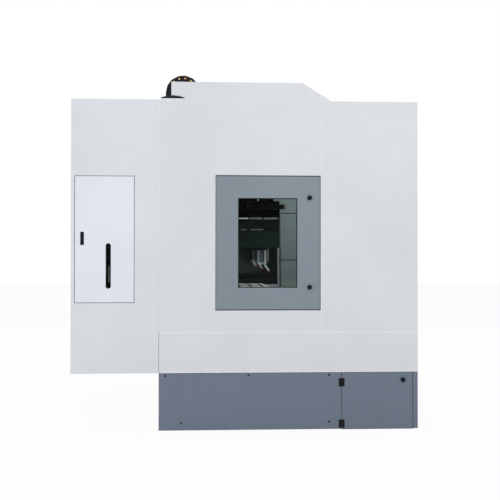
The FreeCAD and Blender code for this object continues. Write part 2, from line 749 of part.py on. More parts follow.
def head_cover():
    """The sheet cover that wraps the head's front and sides, with a lid round the motor."""
    body = new_body()
    outer = "head_half + skin"
    face = "spindle_y - head_front_reach"
    ends = "carriage_face - carriage_depth - 70"
    pad(body, "xy", "cover_bottom", "cover_top", [
        (f"-({outer})", ends), (f"-({outer})", f"{face} - skin"),
        (outer, f"{face} - skin"), (outer, ends), ("head_half", ends), ("head_half", face),
        ("-head_half", face), ("-head_half", ends),
    ])
    motor = "spindle_motor_half + 4"
    pad(body, "xy", "cover_top - skin", "cover_top",
        rectangle("-head_half - 1", "head_half + 1", f"{face} - 1", "carriage_face - 195"),
        rectangle(f"-({motor})", motor, f"spindle_y - ({motor})", f"spindle_y + {motor}"))
    return body


node("head_cover", head_cover())
motor_bottom = "head_bottom + head_height"
node(
    "spindle_motor",
    fuse(
        box("-spindle_motor_half", "spindle_motor_half", "spindle_y - spindle_motor_half",
            "spindle_y + spindle_motor_half", motor_bottom, "spindle_motor_top - 60"),
        box("-spindle_motor_half + 12", "spindle_motor_half - 12",
            "spindle_y - spindle_motor_half + 12", "spindle_y + spindle_motor_half - 12",
            "spindle_motor_top - 60", "spindle_motor_top"),
    ),
)
node("spindle_cartridge", turned(
    "z", "0", "spindle_y", "0",
    ("shaft_radius + bore_play", "cartridge_bottom"),
    ("cartridge_radius - 12", "cartridge_bottom"),
    ("cartridge_radius", "cartridge_bottom + 14"),
    ("cartridge_radius", "head_bottom - flange_thickness"),
    ("cartridge_flange", "head_bottom - flange_thickness"),
    ("cartridge_flange", "head_bottom"), ("cartridge_radius - 5.2", "head_bottom"),
    ("cartridge_radius - 5.2", "head_bottom + 240"),
    ("shaft_radius + bore_play", "head_bottom + 240"),
))
node("spindle_shaft", turned(
    "z", "0", "spindle_y", "0",
    ("taper_mouth", "nose_bottom"), ("nose_radius", "nose_bottom"),
    ("nose_radius", "cartridge_bottom - 1"), ("shaft_radius", "cartridge_bottom - 1"),
    ("shaft_radius", "head_bottom + 260"), ("0", "head_bottom + 260"),
    ("0", "nose_bottom + taper_depth"), ("taper_end", "nose_bottom + taper_depth"),
))


block_bottom = "head_bottom - flange_thickness - coolant_block_drop"
lean = Rotation(Vector(1, 0, 0), -SIZES["spindle head"]["nozzle_lean"])


def nozzle(behind, tip):
    """An eight-sided coolant pipe down from the block, with a leaning nozzle at its end."""
    tip_y = f"spindle_y + {behind}"
    pivot_y = f"({tip_y} + nozzle_length * sin(nozzle_lean))"
    pivot_z = f"({tip} + nozzle_length * cos(nozzle_lean))"
    spout = new_body()
    pad(spout, "xy", "nozzle_tip_length", "nozzle_length + nozzle_pipe",
        polygon("0", "0", "nozzle_radius", 8, 22.5))
    pad(spout, "xy", "0", "nozzle_tip_length", polygon("0", "0", "nozzle_tip_radius", 8, 22.5))
    move(spout, "-nozzle_reach", tip_y, tip, lean)
    pipe = new_body()
    pad(pipe, "xy", pivot_z, block_bottom,
        polygon("-nozzle_reach", pivot_y, "nozzle_pipe", 8, 22.5))
    return fuse(spout, pipe)


coolant_block = box("-nozzle_reach - coolant_block_half", "-nozzle_reach + coolant_block_half",
                    "spindle_y - 50", "spindle_y + 105", block_bottom, "head_bottom")
# how far each tip stands behind the spindle's axis, and its height
NOZZLE_TIPS = (("43", "1209"), ("-15", "1183"), ("-76", "1160"))
node("coolant_nozzles", coolant_block, *[nozzle(*place) for place in NOZZLE_TIPS])

# ---------------------------------------------------------------- tool magazine

disc_face = "-disc_offset"
pot_count = SIZES["tool magazine"]["pot_count"]
window_count = SIZES["tool magazine"]["disc_windows"]


def disc_window(index):
    """One lightening window of the disc, four corners between two radii."""
    middle = f"({index} + 0.5) * 360 / disc_windows"
    return [
        (f"magazine_axis + {radius} * cos({middle} + {spread})",
         f"magazine_height + {radius} * sin({middle} + {spread})")
        for radius, spread in (("disc_window_inner", "-12"), ("disc_window_outer", "-18"),
                               ("disc_window_outer", "18"), ("disc_window_inner", "12"))
    ]


disc = new_body()
pad(disc, "yz", f"{disc_face} - disc_thickness", disc_face,
    polygon("magazine_axis", "magazine_height", "disc_radius", 2 * pot_count),
    *[disc_window(index) for index in range(window_count)])
node("magazine_disc", disc)


def taper_plug():
    """A twelve-sided tapered plug along X, from its wide end to its narrow one."""
    sides = 12
    rings = [
        [Vector(along, radius * math.cos(turn), radius * math.sin(turn))
         for turn in [2 * math.pi * (index + 0.5) / sides for index in range(sides)]]
        for along, radius in ((0, sheet.get("pot_mouth")),
                              (sheet.get("pot_depth"), sheet.get("pot_throat")))
    ]
    outlines = [rings[0][::-1], rings[1]]
    for index in range(sides):
        following = (index + 1) % sides
        outlines.append([rings[0][index], rings[0][following], rings[1][following],
                         rings[1][index]])
    faces = [Part.Face(Part.makePolygon(outline + outline[:1])) for outline in outlines]
    item = document.addObject("Part::Feature", "plug")
    item.Shape = Part.makeSolid(Part.makeShell(faces))
    return item


def tool_pot(index):
    """One pot on the disc's rim: an eight-sided block with a tapered twelve-sided socket."""
    place_y = f"magazine_axis + pot_circle * cos({index} * 360 / pot_count)"
    place_z = f"magazine_height + pot_circle * sin({index} * 360 / pot_count)"
    back = f"{disc_face} - disc_thickness"
    pot = new_body()
    pad(pot, "yz", f"{back} - pot_length", back,
        polygon(place_y, place_z, "pot_radius", 8, 22.5))
    return cut(pot, move(taper_plug(), f"{back} - pot_length", place_y, place_z))


node("tool_pots", *[tool_pot(index) for index in range(pot_count)])

bracket_inner = "-disc_offset + 55"
bracket_outer = f"{bracket_inner} + bracket_thickness"
bracket = new_body()
pad(bracket, "yz", bracket_inner, bracket_outer, [
    ("magazine_axis - 110", "magazine_height - 330"),
    ("magazine_axis + 120", "magazine_height - 330"),
    ("rail_face + 20", "magazine_height - 200"), ("bed_rear - 60", "magazine_height - 200"),
    ("bed_rear - 60", "magazine_height + 160"), ("magazine_axis + 120", "magazine_height + 120"),
    ("magazine_axis - 110", "magazine_height + 120"),
])
gearbox_bottom = "arm_height + arm_thickness / 2 + 5"
node(
    "magazine_housing",
    bracket,
    box(bracket_outer, "-column_width / 2", "rail_face + 40", "bed_rear - 60",
        "magazine_height - 160", "magazine_height + 120"),
    prism("x", f"{disc_face} + 0.3", "magazine_axis", "magazine_height", "hub_radius",
        f"{bracket_inner} - ({disc_face}) - 0.3"),
    box(bracket_outer, "-gearbox_gap", "spindle_y - 10", "magazine_axis + 10",
        gearbox_bottom, "magazine_height - 40"),
)
arm_y = "spindle_y + arm_pivot_y"
grip = "arm_half_length - 34"
arm = new_body()
pad(arm, "xy", "arm_height - arm_thickness / 2", "arm_height + arm_thickness / 2", [
    ("-arm_pivot_x - arm_half_width", f"{arm_y} - arm_half_length"),
    ("-arm_pivot_x + arm_half_width", f"{arm_y} - {grip} - 12"),
    ("-arm_pivot_x + arm_half_width - 12", f"{arm_y} - 60"),
    ("-arm_pivot_x + arm_half_width", f"{arm_y} - 40"),
    ("-arm_pivot_x + arm_half_width", f"{arm_y} + arm_half_length"),
    ("-arm_pivot_x - arm_half_width", f"{arm_y} + {grip} + 12"),
    ("-arm_pivot_x - arm_half_width + 12", f"{arm_y} + 60"),
    ("-arm_pivot_x - arm_half_width", f"{arm_y} + 40"),
])
node("tool_change_arm", fuse(
    cut(arm,
        rod("z", "-arm_pivot_x + 22", f"{arm_y} - {grip}", "arm_height - 50", "24", "100"),
        rod("z", "-arm_pivot_x - 22", f"{arm_y} + {grip}", "arm_height - 50", "24", "100")),
    rod("z", "-arm_pivot_x", arm_y, "arm_height + arm_thickness / 2", "25", "5"),
))

# ---------------------------------------------------------------- way covers


def x_plate(start, level):
    """One telescopic plate over the cross slide: a roof with two skirts."""
    body = new_body()
    half = f"x_cover_half + {level} * plate_step"
    top = f"x_cover_top + {level} * plate_step"
    pad(body, "yz", start, f"({start}) + x_plate_length", [
        (f"table_y - ({half})", "x_skirt_bottom"),
        (f"table_y - ({half}) + plate", "x_skirt_bottom"),
        (f"table_y - ({half}) + plate", top),
        (f"table_y + ({half}) - plate", top),
        (f"table_y + ({half}) - plate", "x_skirt_bottom"),
        (f"table_y + ({half})", "x_skirt_bottom"),
        (f"table_y + ({half})", f"{top} + plate"),
        (f"table_y - ({half})", f"{top} + plate"),
    ])
    return body


def x_plate_pair(share, level):
    """The plates left and right of the table that sit a share of the way to the walls."""
    start = f"wing_end + (x_fixed_end - wing_end) * {share}"
    return [x_plate(start, level), x_plate(f"-({start}) - x_plate_length", level)]


def y_plate(start, end, level):
    """One telescopic plate over the bed in front of the saddle."""
    body = new_body()
    half = f"y_cover_half + {level} * plate_step"
    top = f"y_cover_top + {level} * plate_step"
    pad(body, "xz", start, end, [
        (f"-({half})", "y_skirt_bottom"), (f"-({half}) + plate", "y_skirt_bottom"),
        (f"-({half}) + plate", top), (f"({half}) - plate", top),
        (f"({half}) - plate", "y_skirt_bottom"), (half, "y_skirt_bottom"),
        (half, f"{top} + plate"), (f"-({half})", f"{top} + plate"),
    ])
    return body


node("table_covers", *x_plate_pair("0", 3))
node("x_cover_inner", *x_plate_pair("1 / 3", 2))
node("x_cover_outer", *x_plate_pair("2 / 3", 1))
carrier_reach = (
    ("-x_fixed_end - x_plate_length", "-saddle_length / 2"),
    ("saddle_length / 2", "x_fixed_end + x_plate_length"),
)
carrier_rows = (
    ("table_y - x_cover_half + plate", "table_y - x_cover_half + plate + carrier_bar"),
    ("table_y + x_cover_half - plate - carrier_bar", "table_y + x_cover_half - plate"),
)
carriers = [
    box(*reach, *row, "x_skirt_bottom", "x_skirt_bottom + carrier_bar")
    for reach in carrier_reach for row in carrier_rows
]
node("saddle_covers", *x_plate_pair("1", 0), *carriers,
     y_plate("y_wing_front", "saddle_front", 2))
node("y_cover_front", y_plate("chamber_front + y_wing_length - y_plate_lap",
                              "y_wing_front + y_plate_lap", 1))

# ---------------------------------------------------------------- enclosure frame

tube = "frame_tube"
frame_top = "roof_height - skin"
frame_bars = []
for sign in (-1, 1):
    low, high = ("-frame_side", f"-frame_side + {tube}") if sign < 0 else (
        f"frame_side - {tube}", "frame_side")
    for z_low, z_high in (("ring_bottom", f"ring_bottom + {tube}"),
                          (f"{frame_top} - {tube}", frame_top)):
        frame_bars.append(box(low, high, f"frame_front + {tube}", f"back - {tube}",
                              z_low, z_high))
    for y_low, y_high in (("frame_front", f"frame_front + {tube}"),
                          (f"back - {tube}", "back")):
        frame_bars.append(box(low, high, y_low, y_high, "ring_bottom", frame_top))
    beam_low, beam_high = (f"-frame_side + {tube}", "-bed_width / 2") if sign < 0 else (
        "bed_width / 2", f"frame_side - {tube}")
    for place in ("table_y - beam_front_reach", "table_y + beam_reach"):
        frame_bars.append(box(beam_low, beam_high, place, f"{place} + {tube}",
                              "ring_bottom - beam_drop", f"ring_bottom - beam_drop + {tube}"))
    frame_bars.append(box(beam_low, beam_high, f"back - {tube}", "back", "ring_bottom",
                          f"ring_bottom + {tube}"))
cross_span = (f"-frame_side + {tube}", f"frame_side - {tube}")
top_band = (f"{frame_top} - {tube}", frame_top)
frame_bars.append(box(*cross_span, "frame_front", f"frame_front + {tube}", "ring_bottom",
                      f"ring_bottom + {tube}"))
frame_bars.append(box(*cross_span, "frame_front", f"frame_front + {tube}", *top_band))
frame_bars.append(box(*cross_span, f"back - {tube}", "back", *top_band))
frame_bars.append(box(f"console_left - {tube}", "console_left", "frame_front",
                      f"frame_front + {tube}", f"ring_bottom + {tube}",
                      f"{frame_top} - {tube}"))
track_back = "front_door_face + fold + 3"
track_low = "doorway_bottom - front_door_overlap"
track_high = "doorway_top + front_door_overlap"
track_span = ("-frame_side + frame_tube", "console_left - frame_tube")
frame_bars.append(box(*track_span, "frame_front", track_back,
                      f"{track_low} - 0.3 - track_thickness", f"{track_low} - 0.3"))
frame_bars.append(box(*track_span, "frame_front", track_back,
                      f"{track_high} + 0.3", f"{track_high} + 0.3 + track_thickness"))
node("enclosure_frame", *frame_bars)

# ---------------------------------------------------------------- outer panels


def panel_body(face, inward, *outlines):
    """A flat side sheet cut to outlines given in Y and Z."""
    body = new_body()
    if inward > 0:
        pad(body, "yz", face, f"({face}) + skin", *outlines)
    else:
        pad(body, "yz", f"({face}) - skin", face, *outlines)
    return body


def fold_strip(body, face, inward, y_low, y_high, z_low, z_high, depth="fold"):
    """A turned edge behind a side sheet."""
    low, high = (f"({face}) + skin", f"({face}) + {depth}") if inward > 0 else (
        f"({face}) - {depth}", f"({face}) - skin")
    pad(body, "yz", low, high, rectangle(y_low, y_high, z_low, z_high))


slope_at_seam = ("roof_height + hood_rise * (front_bay - hood_foot)"
                 " / (hood_flat_end - hood_foot)")
panel_bottom = "strip_top + seam_half"
gap_low = "side_door_bottom - door_gap"
gap_high = "side_door_top + door_gap"
gap_rear = "side_door_rear + door_gap"


def main_panel(face, inward, doorway, *holes):
    """The large side panel that runs up into the raised roof's profile."""
    body_front = "bay_seam + seam_half"
    outline = [
        ("back - seam_half", panel_bottom), ("back - seam_half", "roof_height"),
        ("hood_rear", "roof_height"), ("hood_rear", "hood_top"),
        ("front + hood_flat_end", "hood_top"), (body_front, slope_at_seam),
    ]
    if doorway:
        outline += [(body_front, gap_high), (gap_rear, gap_high), (gap_rear, gap_low),
                    (body_front, gap_low)]
    outline.append((body_front, panel_bottom))
    body = panel_body(face, inward, outline, *holes)
    fold_strip(body, face, inward, "back - seam_half - skin", "back - seam_half",
               panel_bottom, "roof_height - skin")
    fold_strip(body, face, inward, body_front, "back - seam_half", panel_bottom,
               f"{panel_bottom} + skin")
    if doorway:
        fold_strip(body, face, inward, body_front, gap_rear, f"{gap_low} - skin", gap_low)
        fold_strip(body, face, inward, body_front, gap_rear, gap_high, f"{gap_high} + skin")
    return body


def bay_panel(face, inward):
    """The side panel of the front bay, with its folded edges."""
    body_rear = "bay_seam - seam_half"
    body = panel_body(face, inward, [
        (body_rear, panel_bottom), (body_rear, slope_at_seam),
        ("front + hood_foot", "roof_height"), ("front", "roof_height"),
        ("front", panel_bottom),
    ])
    fold_strip(body, face, inward, f"{body_rear} - skin", body_rear, panel_bottom,
               "roof_height - skin")
    fold_strip(body, face, inward, "front + fold", body_rear, panel_bottom,
               f"{panel_bottom} + skin")
    return body


def lower_panel(face, inward):
    """The low band under both side panels, folded behind at its top, foot and rear."""
    low, high = "base_height + seam_half", "strip_top - seam_half"
    body = panel_body(face, inward, rectangle("front", "back - seam_half", low, high))
    fold_strip(body, face, inward, "front + fold", "back - seam_half", low, f"{low} + skin")
    fold_strip(body, face, inward, "front + fold", "back - seam_half", f"{high} - skin", high)
    fold_strip(body, face, inward, "back - seam_half - skin", "back - seam_half", low, high)
    return body


node("left_side_panel", main_panel("-side", 1, True))
node("left_outer_panels", bay_panel("-side", 1), lower_panel("-side", 1))
right_pane = ("right_window_start", "right_window_end", "right_window_bottom",
              "right_window_bottom + right_window_height")
node("right_side_panels", main_panel("side", -1, False, rectangle(*right_pane)),
     bay_panel("side", -1), lower_panel("side", -1),
     box("side - skin - glass", "side - skin", f"{right_pane[0]} - right_window_lap",
         f"{right_pane[1]} + right_window_lap", f"{right_pane[2]} - right_window_lap",
         f"{right_pane[3]} + right_window_lap"))

roof = new_body()
roof_low = "roof_height - skin"
pad(roof, "yz", "-side + skin", "side - skin", [
    ("front", "roof_height"), ("front + hood_foot", "roof_height"),
    ("front + hood_flat_end", "hood_top"), ("hood_rear", "hood_top"),
    ("hood_rear", "roof_height"), ("back - seam_half", "roof_height"),
    ("back - seam_half", roof_low), ("hood_rear - skin", roof_low),
    ("hood_rear - skin", "hood_top - skin"),
    ("front + hood_flat_end + 1", "hood_top - skin"), ("front + hood_foot + 1", roof_low),
    ("front", roof_low),
])
chain_half = "chain_width / 2 + 8"
pocket(roof, "xy", "hood_top - chain_height - chain_notch", "hood_top + 1",
       rectangle(f"chain_x - ({chain_half})", f"chain_x + {chain_half}",
                 "chain_y - chain_radius - chain_height / 2 - 10", "hood_rear + 1"))
node("roof_panels", roof)

fascia = [
    front_pan("front", 1, "-side + skin", "side - skin", "base_height + seam_half",
              "doorway_bottom"),
    front_pan("front", 1, "-side + skin", "side - skin", "doorway_top", "roof_height - skin"),
    front_pan("front", 1, "-side + skin", "-doorway_left", "doorway_bottom + seam_half",
              "doorway_top - seam_half"),
    front_pan("front", 1, "doorway_right", "console_left - seam_half",
              "doorway_bottom + seam_half", "doorway_top - seam_half"),
    front_pan("front", 1, "console_left + seam_half", "side - skin",
              "doorway_bottom + seam_half", "console_bottom"),
    front_pan("front", 1, "console_left + seam_half", "side - skin", "console_top",
              "doorway_top - seam_half"),
    front_pan("front", 1, "console_right + seam_half", "side - skin",
              "console_bottom + seam_half", "console_top - seam_half"),
]
node("front_fascia", *fascia)

skirt_band = ("floor_gap", "base_height - seam_half")
fixed_leaf_y = "tank_rear + door_gap / 2"


def butt_hinge(z_low, fixed):
    """Half a butt hinge: a leaf on the outer face and its share of the barrel."""
    axis_x = "-side - butt_barrel"
    if fixed:
        leaf = box("-side - butt_leaf", "-side", fixed_leaf_y,
                   f"{fixed_leaf_y} + butt_leaf_width", z_low, f"{z_low} + butt_height / 2")
        barrel = rod("z", axis_x, fixed_leaf_y, z_low, "butt_barrel", "butt_height / 2")
        pin = rod("z", axis_x, fixed_leaf_y, z_low, "butt_pin", "butt_height - 2")
        return fuse(leaf, barrel, pin)
    upper = f"{z_low} + butt_height / 2 + 0.3"
    top = f"{z_low} + butt_height"
    leaf = box("-side - butt_leaf", "-side", f"{fixed_leaf_y} - butt_leaf_width",
               fixed_leaf_y, upper, top)
    barrel = rod("z", axis_x, fixed_leaf_y, upper, "butt_barrel",
                 "butt_height / 2 - 0.3")
    hole = rod("z", axis_x, fixed_leaf_y, f"{upper} - 1", "butt_pin + pin_play",
               "butt_height")
    return cut(fuse(leaf, barrel), hole)


node(
    "base_skirt_panels",
    side_pan("-side", 1, "tank_rear + door_gap", "back", *skirt_band),
    side_pan("-side", 1, "front", "tank_front - door_gap", *skirt_band),
    side_pan("side", -1, "front", "back", *skirt_band),
    front_pan("front", 1, "-side + fold", "side - fold", *skirt_band),
    front_pan("back", -1, "-side + fold", "side - fold", *skirt_band, "column_setback"),
    butt_hinge("butt_low - butt_height / 2", True),
    butt_hinge("butt_high - butt_height / 2", True),
)

# ---------------------------------------------------------------- work chamber


def inner_wall(x_low, x_high, *outlines):
    body = new_body()
    pad(body, "yz", x_low, x_high, *outlines)
    return body


opening = rectangle("side_door_front + 20", "side_door_rear - 20", "side_door_bottom + 15",
                    "side_door_top - 15")
left_wall = inner_wall("-chamber_half - skin", "-chamber_half",
                       rectangle("wall_front", "rear_wall", "chamber_sill", "wall_top"),
                       opening)
reveal_front = "right_window_start - right_window_reveal"
right_plates = [
    inner_wall("chamber_half", "chamber_half + skin",
               rectangle("wall_front", reveal_front, low_edge, high_edge))
    for low_edge, high_edge in (
        ("chamber_sill", "low_wall_seam - seam_half"),
        ("low_wall_seam + seam_half", "high_wall_seam - seam_half"),
        ("high_wall_seam + seam_half", "wall_top"))
]
reveal_rear = "right_window_end + right_window_reveal"
reveal_low = "right_window_bottom - right_window_reveal"
reveal_high = "right_window_bottom + right_window_height + right_window_reveal"
window_wall = inner_wall("chamber_half", "chamber_half + skin", [
    (f"{reveal_front} + wall_seam", "chamber_sill"), ("rear_wall", "chamber_sill"),
    ("rear_wall", "wall_top"), (f"{reveal_front} + wall_seam", "wall_top"),
    (f"{reveal_front} + wall_seam", reveal_high), (reveal_rear, reveal_high),
    (reveal_rear, reveal_low), (f"{reveal_front} + wall_seam", reveal_low),
])


def side_chute(sign):
    """The sloping sheet from a side wall down to the bed."""
    body = new_body()
    far = f"{sign} * (chamber_half + skin)"
    near = f"{sign} * bed_width / 2"
    pad(body, "xz", "wall_front", "rear_wall", [
        (far, "chamber_sill"), (near, "shoulder"), (near, "shoulder - skin"),
        (far, "chamber_sill - skin"),
    ])
    return body


front_chute = new_body()
pad(front_chute, "yz", "-bed_width / 2", "bed_width / 2", [
    ("wall_front", "chamber_sill"), ("chamber_front", "y_skirt_bottom"),
    ("chamber_front", "y_skirt_bottom - skin"), ("wall_front", "chamber_sill - skin"),
])
cheek_outline = [
    ("wall_front", "shoulder + skin / 2"), ("bed_front", "shoulder + skin / 2"),
    ("bed_front", "y_skirt_bottom"),
    ("chamber_front", "y_skirt_bottom"), ("wall_front", "chamber_sill"),
]
cheeks = [inner_wall("bed_width / 2", "bed_width / 2 + skin", cheek_outline),
          inner_wall("-bed_width / 2 - skin", "-bed_width / 2", cheek_outline)]


def rear_plate(sign, inner, step):
    """The rear sheet beside the column; its upper part ends short of the tool magazine."""
    far = f"{sign} * (chamber_half + skin)"
    low = f"{sign} * bed_width / 2"
    near = f"{sign} * ({inner})"
    upper = f"{sign} * ({inner} + {step})"
    body = new_body()
    outline = [
        (far, "chamber_sill"), (low, "shoulder"), (low, "bed_top + 100"),
        (near, "bed_top + 100"), (near, "magazine_height - 400"),
        (upper, "magazine_height - 400"), (upper, "wall_top"), (far, "wall_top"),
    ]
    pad(body, "xz", "rear_wall", "rear_wall + skin", outline)
    return body


node(
    "splash_guard", left_wall, *right_plates, window_wall, side_chute(-1), side_chute(1),
    front_chute,
    *cheeks, rear_plate(-1, "column_width / 2 + 12", "98"),
    rear_plate(1, "column_width / 2 + 12", "1"),
    y_plate("chamber_front", "chamber_front + y_wing_length", 0),
)

# ---------------------------------------------------------------- side door


def hinge_heights(low, high):
    """The foot of the lower and of the upper hinge of a door."""
    return f"{low} + hinge_inset", f"{high} - hinge_inset - hinge_height"


def fixed_hinge(axis_y, away, z_low):
    """A concealed hinge's fixed half: two square ears and a pin on a leaf behind the sheet."""
    axis_x = "-side + hinge_axis_depth"
    third = "hinge_height / 3"

    def span(near, far):
        low, high = (near, far) if away > 0 else (far, near)
        return f"{axis_y} + {away} * ({low})", f"{axis_y} + {away} * ({high})"

    pieces = [box("-side + skin", "-side + skin + hinge_leaf",
                  *span("hinge_ear + 3", "hinge_leaf_width"), z_low,
                  f"{z_low} + hinge_height")]
    for start in (z_low, f"{z_low} + 2 * {third}"):
        pieces.append(box("-side + skin", f"{axis_x} + hinge_ear",
                          *span("-hinge_ear", "hinge_ear + 6"), start, f"{start} + {third}"))
    pieces.append(rod("z", axis_x, axis_y, f"{z_low} + {third}", "hinge_pin", third))
    return fuse(*pieces)


def moving_hinge(axis_y, away, z_low):
    """A concealed hinge's arm: a knuckle on the pin and a neck round to the door's rim."""
    axis_x = "-side + hinge_axis_depth"
    third = "hinge_height / 3"
    low = f"{z_low} + {third} + 0.3"
    high = f"{z_low} + 2 * {third} - 0.3"

    def span(near, far):
        first, last = (near, far) if away < 0 else (far, near)
        return f"{axis_y} - {away} * ({first})", f"{axis_y} - {away} * ({last})"

    deep = f"{axis_x} + hinge_neck"
    knuckle = box(f"{axis_x} - hinge_ear", f"{axis_x} + hinge_ear",
                  f"{axis_y} - hinge_ear", f"{axis_y} + hinge_ear", low, high)
    post = box(axis_x, f"{deep} + hinge_leaf", *span("-2", "2"), low, high)
    neck = box(deep, f"{deep} + hinge_leaf", *span("-2", "hinge_axis_offset + door_rim"),
               low, high)
    foot = box("-side + fold", deep, *span("hinge_axis_offset", "hinge_axis_offset + door_rim"),
               low, high)
    hole = rod("z", axis_x, axis_y, f"{low} - 1", "hinge_pin + pin_play", f"{third} + 2")
    return cut(fuse(knuckle, post, neck, foot), hole)


side_axis = "side_door_rear + hinge_axis_offset"
side_door = new_body()
door_outline = rectangle("side_door_front", "side_door_rear", "side_door_bottom",
                         "side_door_top")
window_low = "side_door_front + window_front_margin"
window_high = f"{window_low} + window_length"
pane = (window_low, window_high, "side_door_bottom + window_bottom",
        "side_door_bottom + window_bottom + window_height")
grown = (f"{pane[0]} - window_rim", f"{pane[1]} + window_rim", f"{pane[2]} - window_rim",
         f"{pane[3]} + window_rim")
pad(side_door, "yz", "-side", "-side + skin", door_outline, rectangle(*pane))
pad(side_door, "yz", "-side + skin", "-side + fold", door_outline,
    rectangle("side_door_front + door_rim", "side_door_rear - door_rim",
              "side_door_bottom + door_rim", "side_door_top - door_rim"))
pad(side_door, "yz", "-side + skin", "-side + fold", rectangle(*grown), rectangle(*pane))
latch_y = "side_door_front + side_latch_inset"
latch_levels = {"side_door_lock_upper": ("side_door_bottom + side_latch_high", -1),
                "side_door_lock_lower": ("side_door_bottom + side_latch_low", 1)}
for level, _ in latch_levels.values():
    turned_hole(side_door, "x", latch_y, level, "latch_shaft + latch_play", "-side - 1",
                "-side + skin + 1")
side_hinges = hinge_heights("side_door_bottom", "side_door_top")
node("side_door", side_door, *[moving_hinge(side_axis, 1, place) for place in side_hinges])
node("side_door_window", box("-side + skin", "-side + skin + glass", *pane))


def latch(y, z, sign):
    """A quarter-turn latch: a knob outside, its shaft and a cam blade behind the door."""
    knob = turned(
        "x", "-side - knob_height - 1", y, z,
        ("0", "0"), ("knob_radius - 3", "0"), ("knob_radius", "3"),
        ("knob_radius", "knob_height"),
        ("latch_shaft", "knob_height"), ("latch_shaft", "knob_height + 1 + cam_depth"),
        ("0", "knob_height + 1 + cam_depth"),
    )
    z_low, z_high = (f"{z} - cam_width / 2", f"{z} + cam_length") if sign > 0 else (
        f"{z} - cam_length", f"{z} + cam_width / 2")
    cam = box("-side + cam_depth", "-side + cam_depth + cam_thickness", f"{y} - cam_width / 2",
              f"{y} + cam_width / 2", z_low, z_high)
    return fuse(knob, cam)


for name, (level, sign) in latch_levels.items():
    node(name, latch(latch_y, level, sign))

# ---------------------------------------------------------------- tank door and tank

tank_outline = rectangle("tank_front", "tank_rear", *skirt_band)
tank_door = new_body()
pad(tank_door, "yz", "-side", "-side + skin", tank_outline)
pad(tank_door, "yz", "-side + skin", "-side + tank_door_rim", tank_outline,
    rectangle("tank_front + skin", "tank_rear - skin", "floor_gap + skin",
              "base_height - seam_half - skin"))
tank_latch_y = "tank_front + tank_latch_inset"
turned_hole(tank_door, "x", tank_latch_y, "tank_latch_height", "latch_shaft + latch_play",
            "-side - 1", "-side + skin + 1")
node("tank_door", tank_door, butt_hinge("butt_low - butt_height / 2", False),
     butt_hinge("butt_high - butt_height / 2", False))
node("tank_door_knob", latch(tank_latch_y, "tank_latch_height", -1))

tank_box = ("-side + tank_gap + 30", "-bed_width / 2 - tank_gap", "tank_front + 10",
            "tank_rear - 10")
pump_x = f"{tank_box[0]} + 180"
pump_y = f"{tank_box[2]} + 380"
pump_top = "base_height - 25"
lid_seat = "tank_top - 6"
pipe_level = "base_height + frame_tube / 2"
elbow = "(supply_pipe + 4)"
node(
    "coolant_tank",
    cut(box(*tank_box, "0", "tank_top"),
        box(f"{tank_box[0]} + tank_wall", f"{tank_box[1]} - tank_wall",
            f"{tank_box[2]} + tank_wall", f"{tank_box[3]} - tank_wall", "tank_wall",
            "tank_top + 1")),
    cut(box(f"{tank_box[0]} + tank_wall", f"{tank_box[1]} - tank_wall",
            f"{tank_box[2]} + 250", f"{tank_box[3]} - tank_wall", f"{lid_seat} - 6", lid_seat),
        prism("z", pump_x, pump_y, f"{lid_seat} - 8", "pump_radius + 0.2", "20")),
    prism("z", pump_x, pump_y, "60", "pump_radius", f"{pump_top} - 60"),
    fuse(
        prism("z", pump_x, pump_y, pump_top, "supply_pipe",
            f"{pipe_level} - {elbow} - ({pump_top})"),
        box(f"{pump_x} - {elbow}", f"{pump_x} + {elbow}", f"{pump_y} - {elbow}",
            f"{pump_y} + {elbow}", f"{pipe_level} - {elbow}", f"{pipe_level} + {elbow}"),
        prism("x", "-frame_side + frame_tube", pump_y, pipe_level, "supply_pipe",
            f"{pump_x} - {elbow} + frame_side - frame_tube"),
    ),
)

# ---------------------------------------------------------------- rear cabinet

cabinet_edge = "cabinet_door_start - door_gap", "cabinet_door_end + door_gap"
cabinet_levels = "cabinet_door_bottom - door_gap", "cabinet_door_top + door_gap"
shell_low = "base_height"
cabinet_left = panel_body("-side", 1, rectangle("back + seam_half", "rear", shell_low,
                                                "roof_height"),
                          rectangle(*cabinet_edge, *cabinet_levels))
node(
    "cabinet_shell",
    cabinet_left,
    panel_body("side", -1, rectangle("back + seam_half", "rear", shell_low, "roof_height")),
    box("-side + skin", "side - skin", "rear - skin", "rear", shell_low, "roof_height"),
    box("-side + skin", "side - skin", "back", "back + skin", shell_low, "roof_height"),
    box("-side + skin", "side - skin", "back + skin", "rear - skin", shell_low,
        f"{shell_low} + skin"),
    box("-side + skin", "side - skin", "back + skin", "rear - skin",
        "roof_height - skin", "roof_height"),
    *[fixed_hinge("cabinet_door_start - hinge_axis_offset", -1, place)
      for place in hinge_heights("cabinet_door_bottom", "cabinet_door_top")],
)
left_panel_hinges = [fixed_hinge(side_axis, 1, place) for place in side_hinges]
node("side_door_hinges", *left_panel_hinges)

cabinet_door = new_body()
leaf = rectangle("cabinet_door_start", "cabinet_door_end", "cabinet_door_bottom",
                 "cabinet_door_top")
lock_y = "cabinet_door_end - lock_inset"
lock_hole = (f"{lock_y} - lock_width / 2", f"{lock_y} + lock_width / 2",
             "lock_middle - lock_length / 2", "lock_middle + lock_length / 2")
sight_y = "back + sight_front + sight_width / 2"
pad(cabinet_door, "yz", "-side", "-side + skin", leaf, rectangle(*lock_hole))
pad(cabinet_door, "yz", "-side + skin", "-side + fold", leaf,
    rectangle("cabinet_door_start + door_rim", "cabinet_door_end - door_rim",
              "cabinet_door_bottom + door_rim", "cabinet_door_top - door_rim"))
pocket(cabinet_door, "yz", "-side - 1", "-side + skin + 1",
       rectangle(f"{sight_y} - sight_width / 2", f"{sight_y} + sight_width / 2",
                 "sight_bottom + sight_width / 2",
                 "sight_bottom + sight_height - sight_width / 2"))
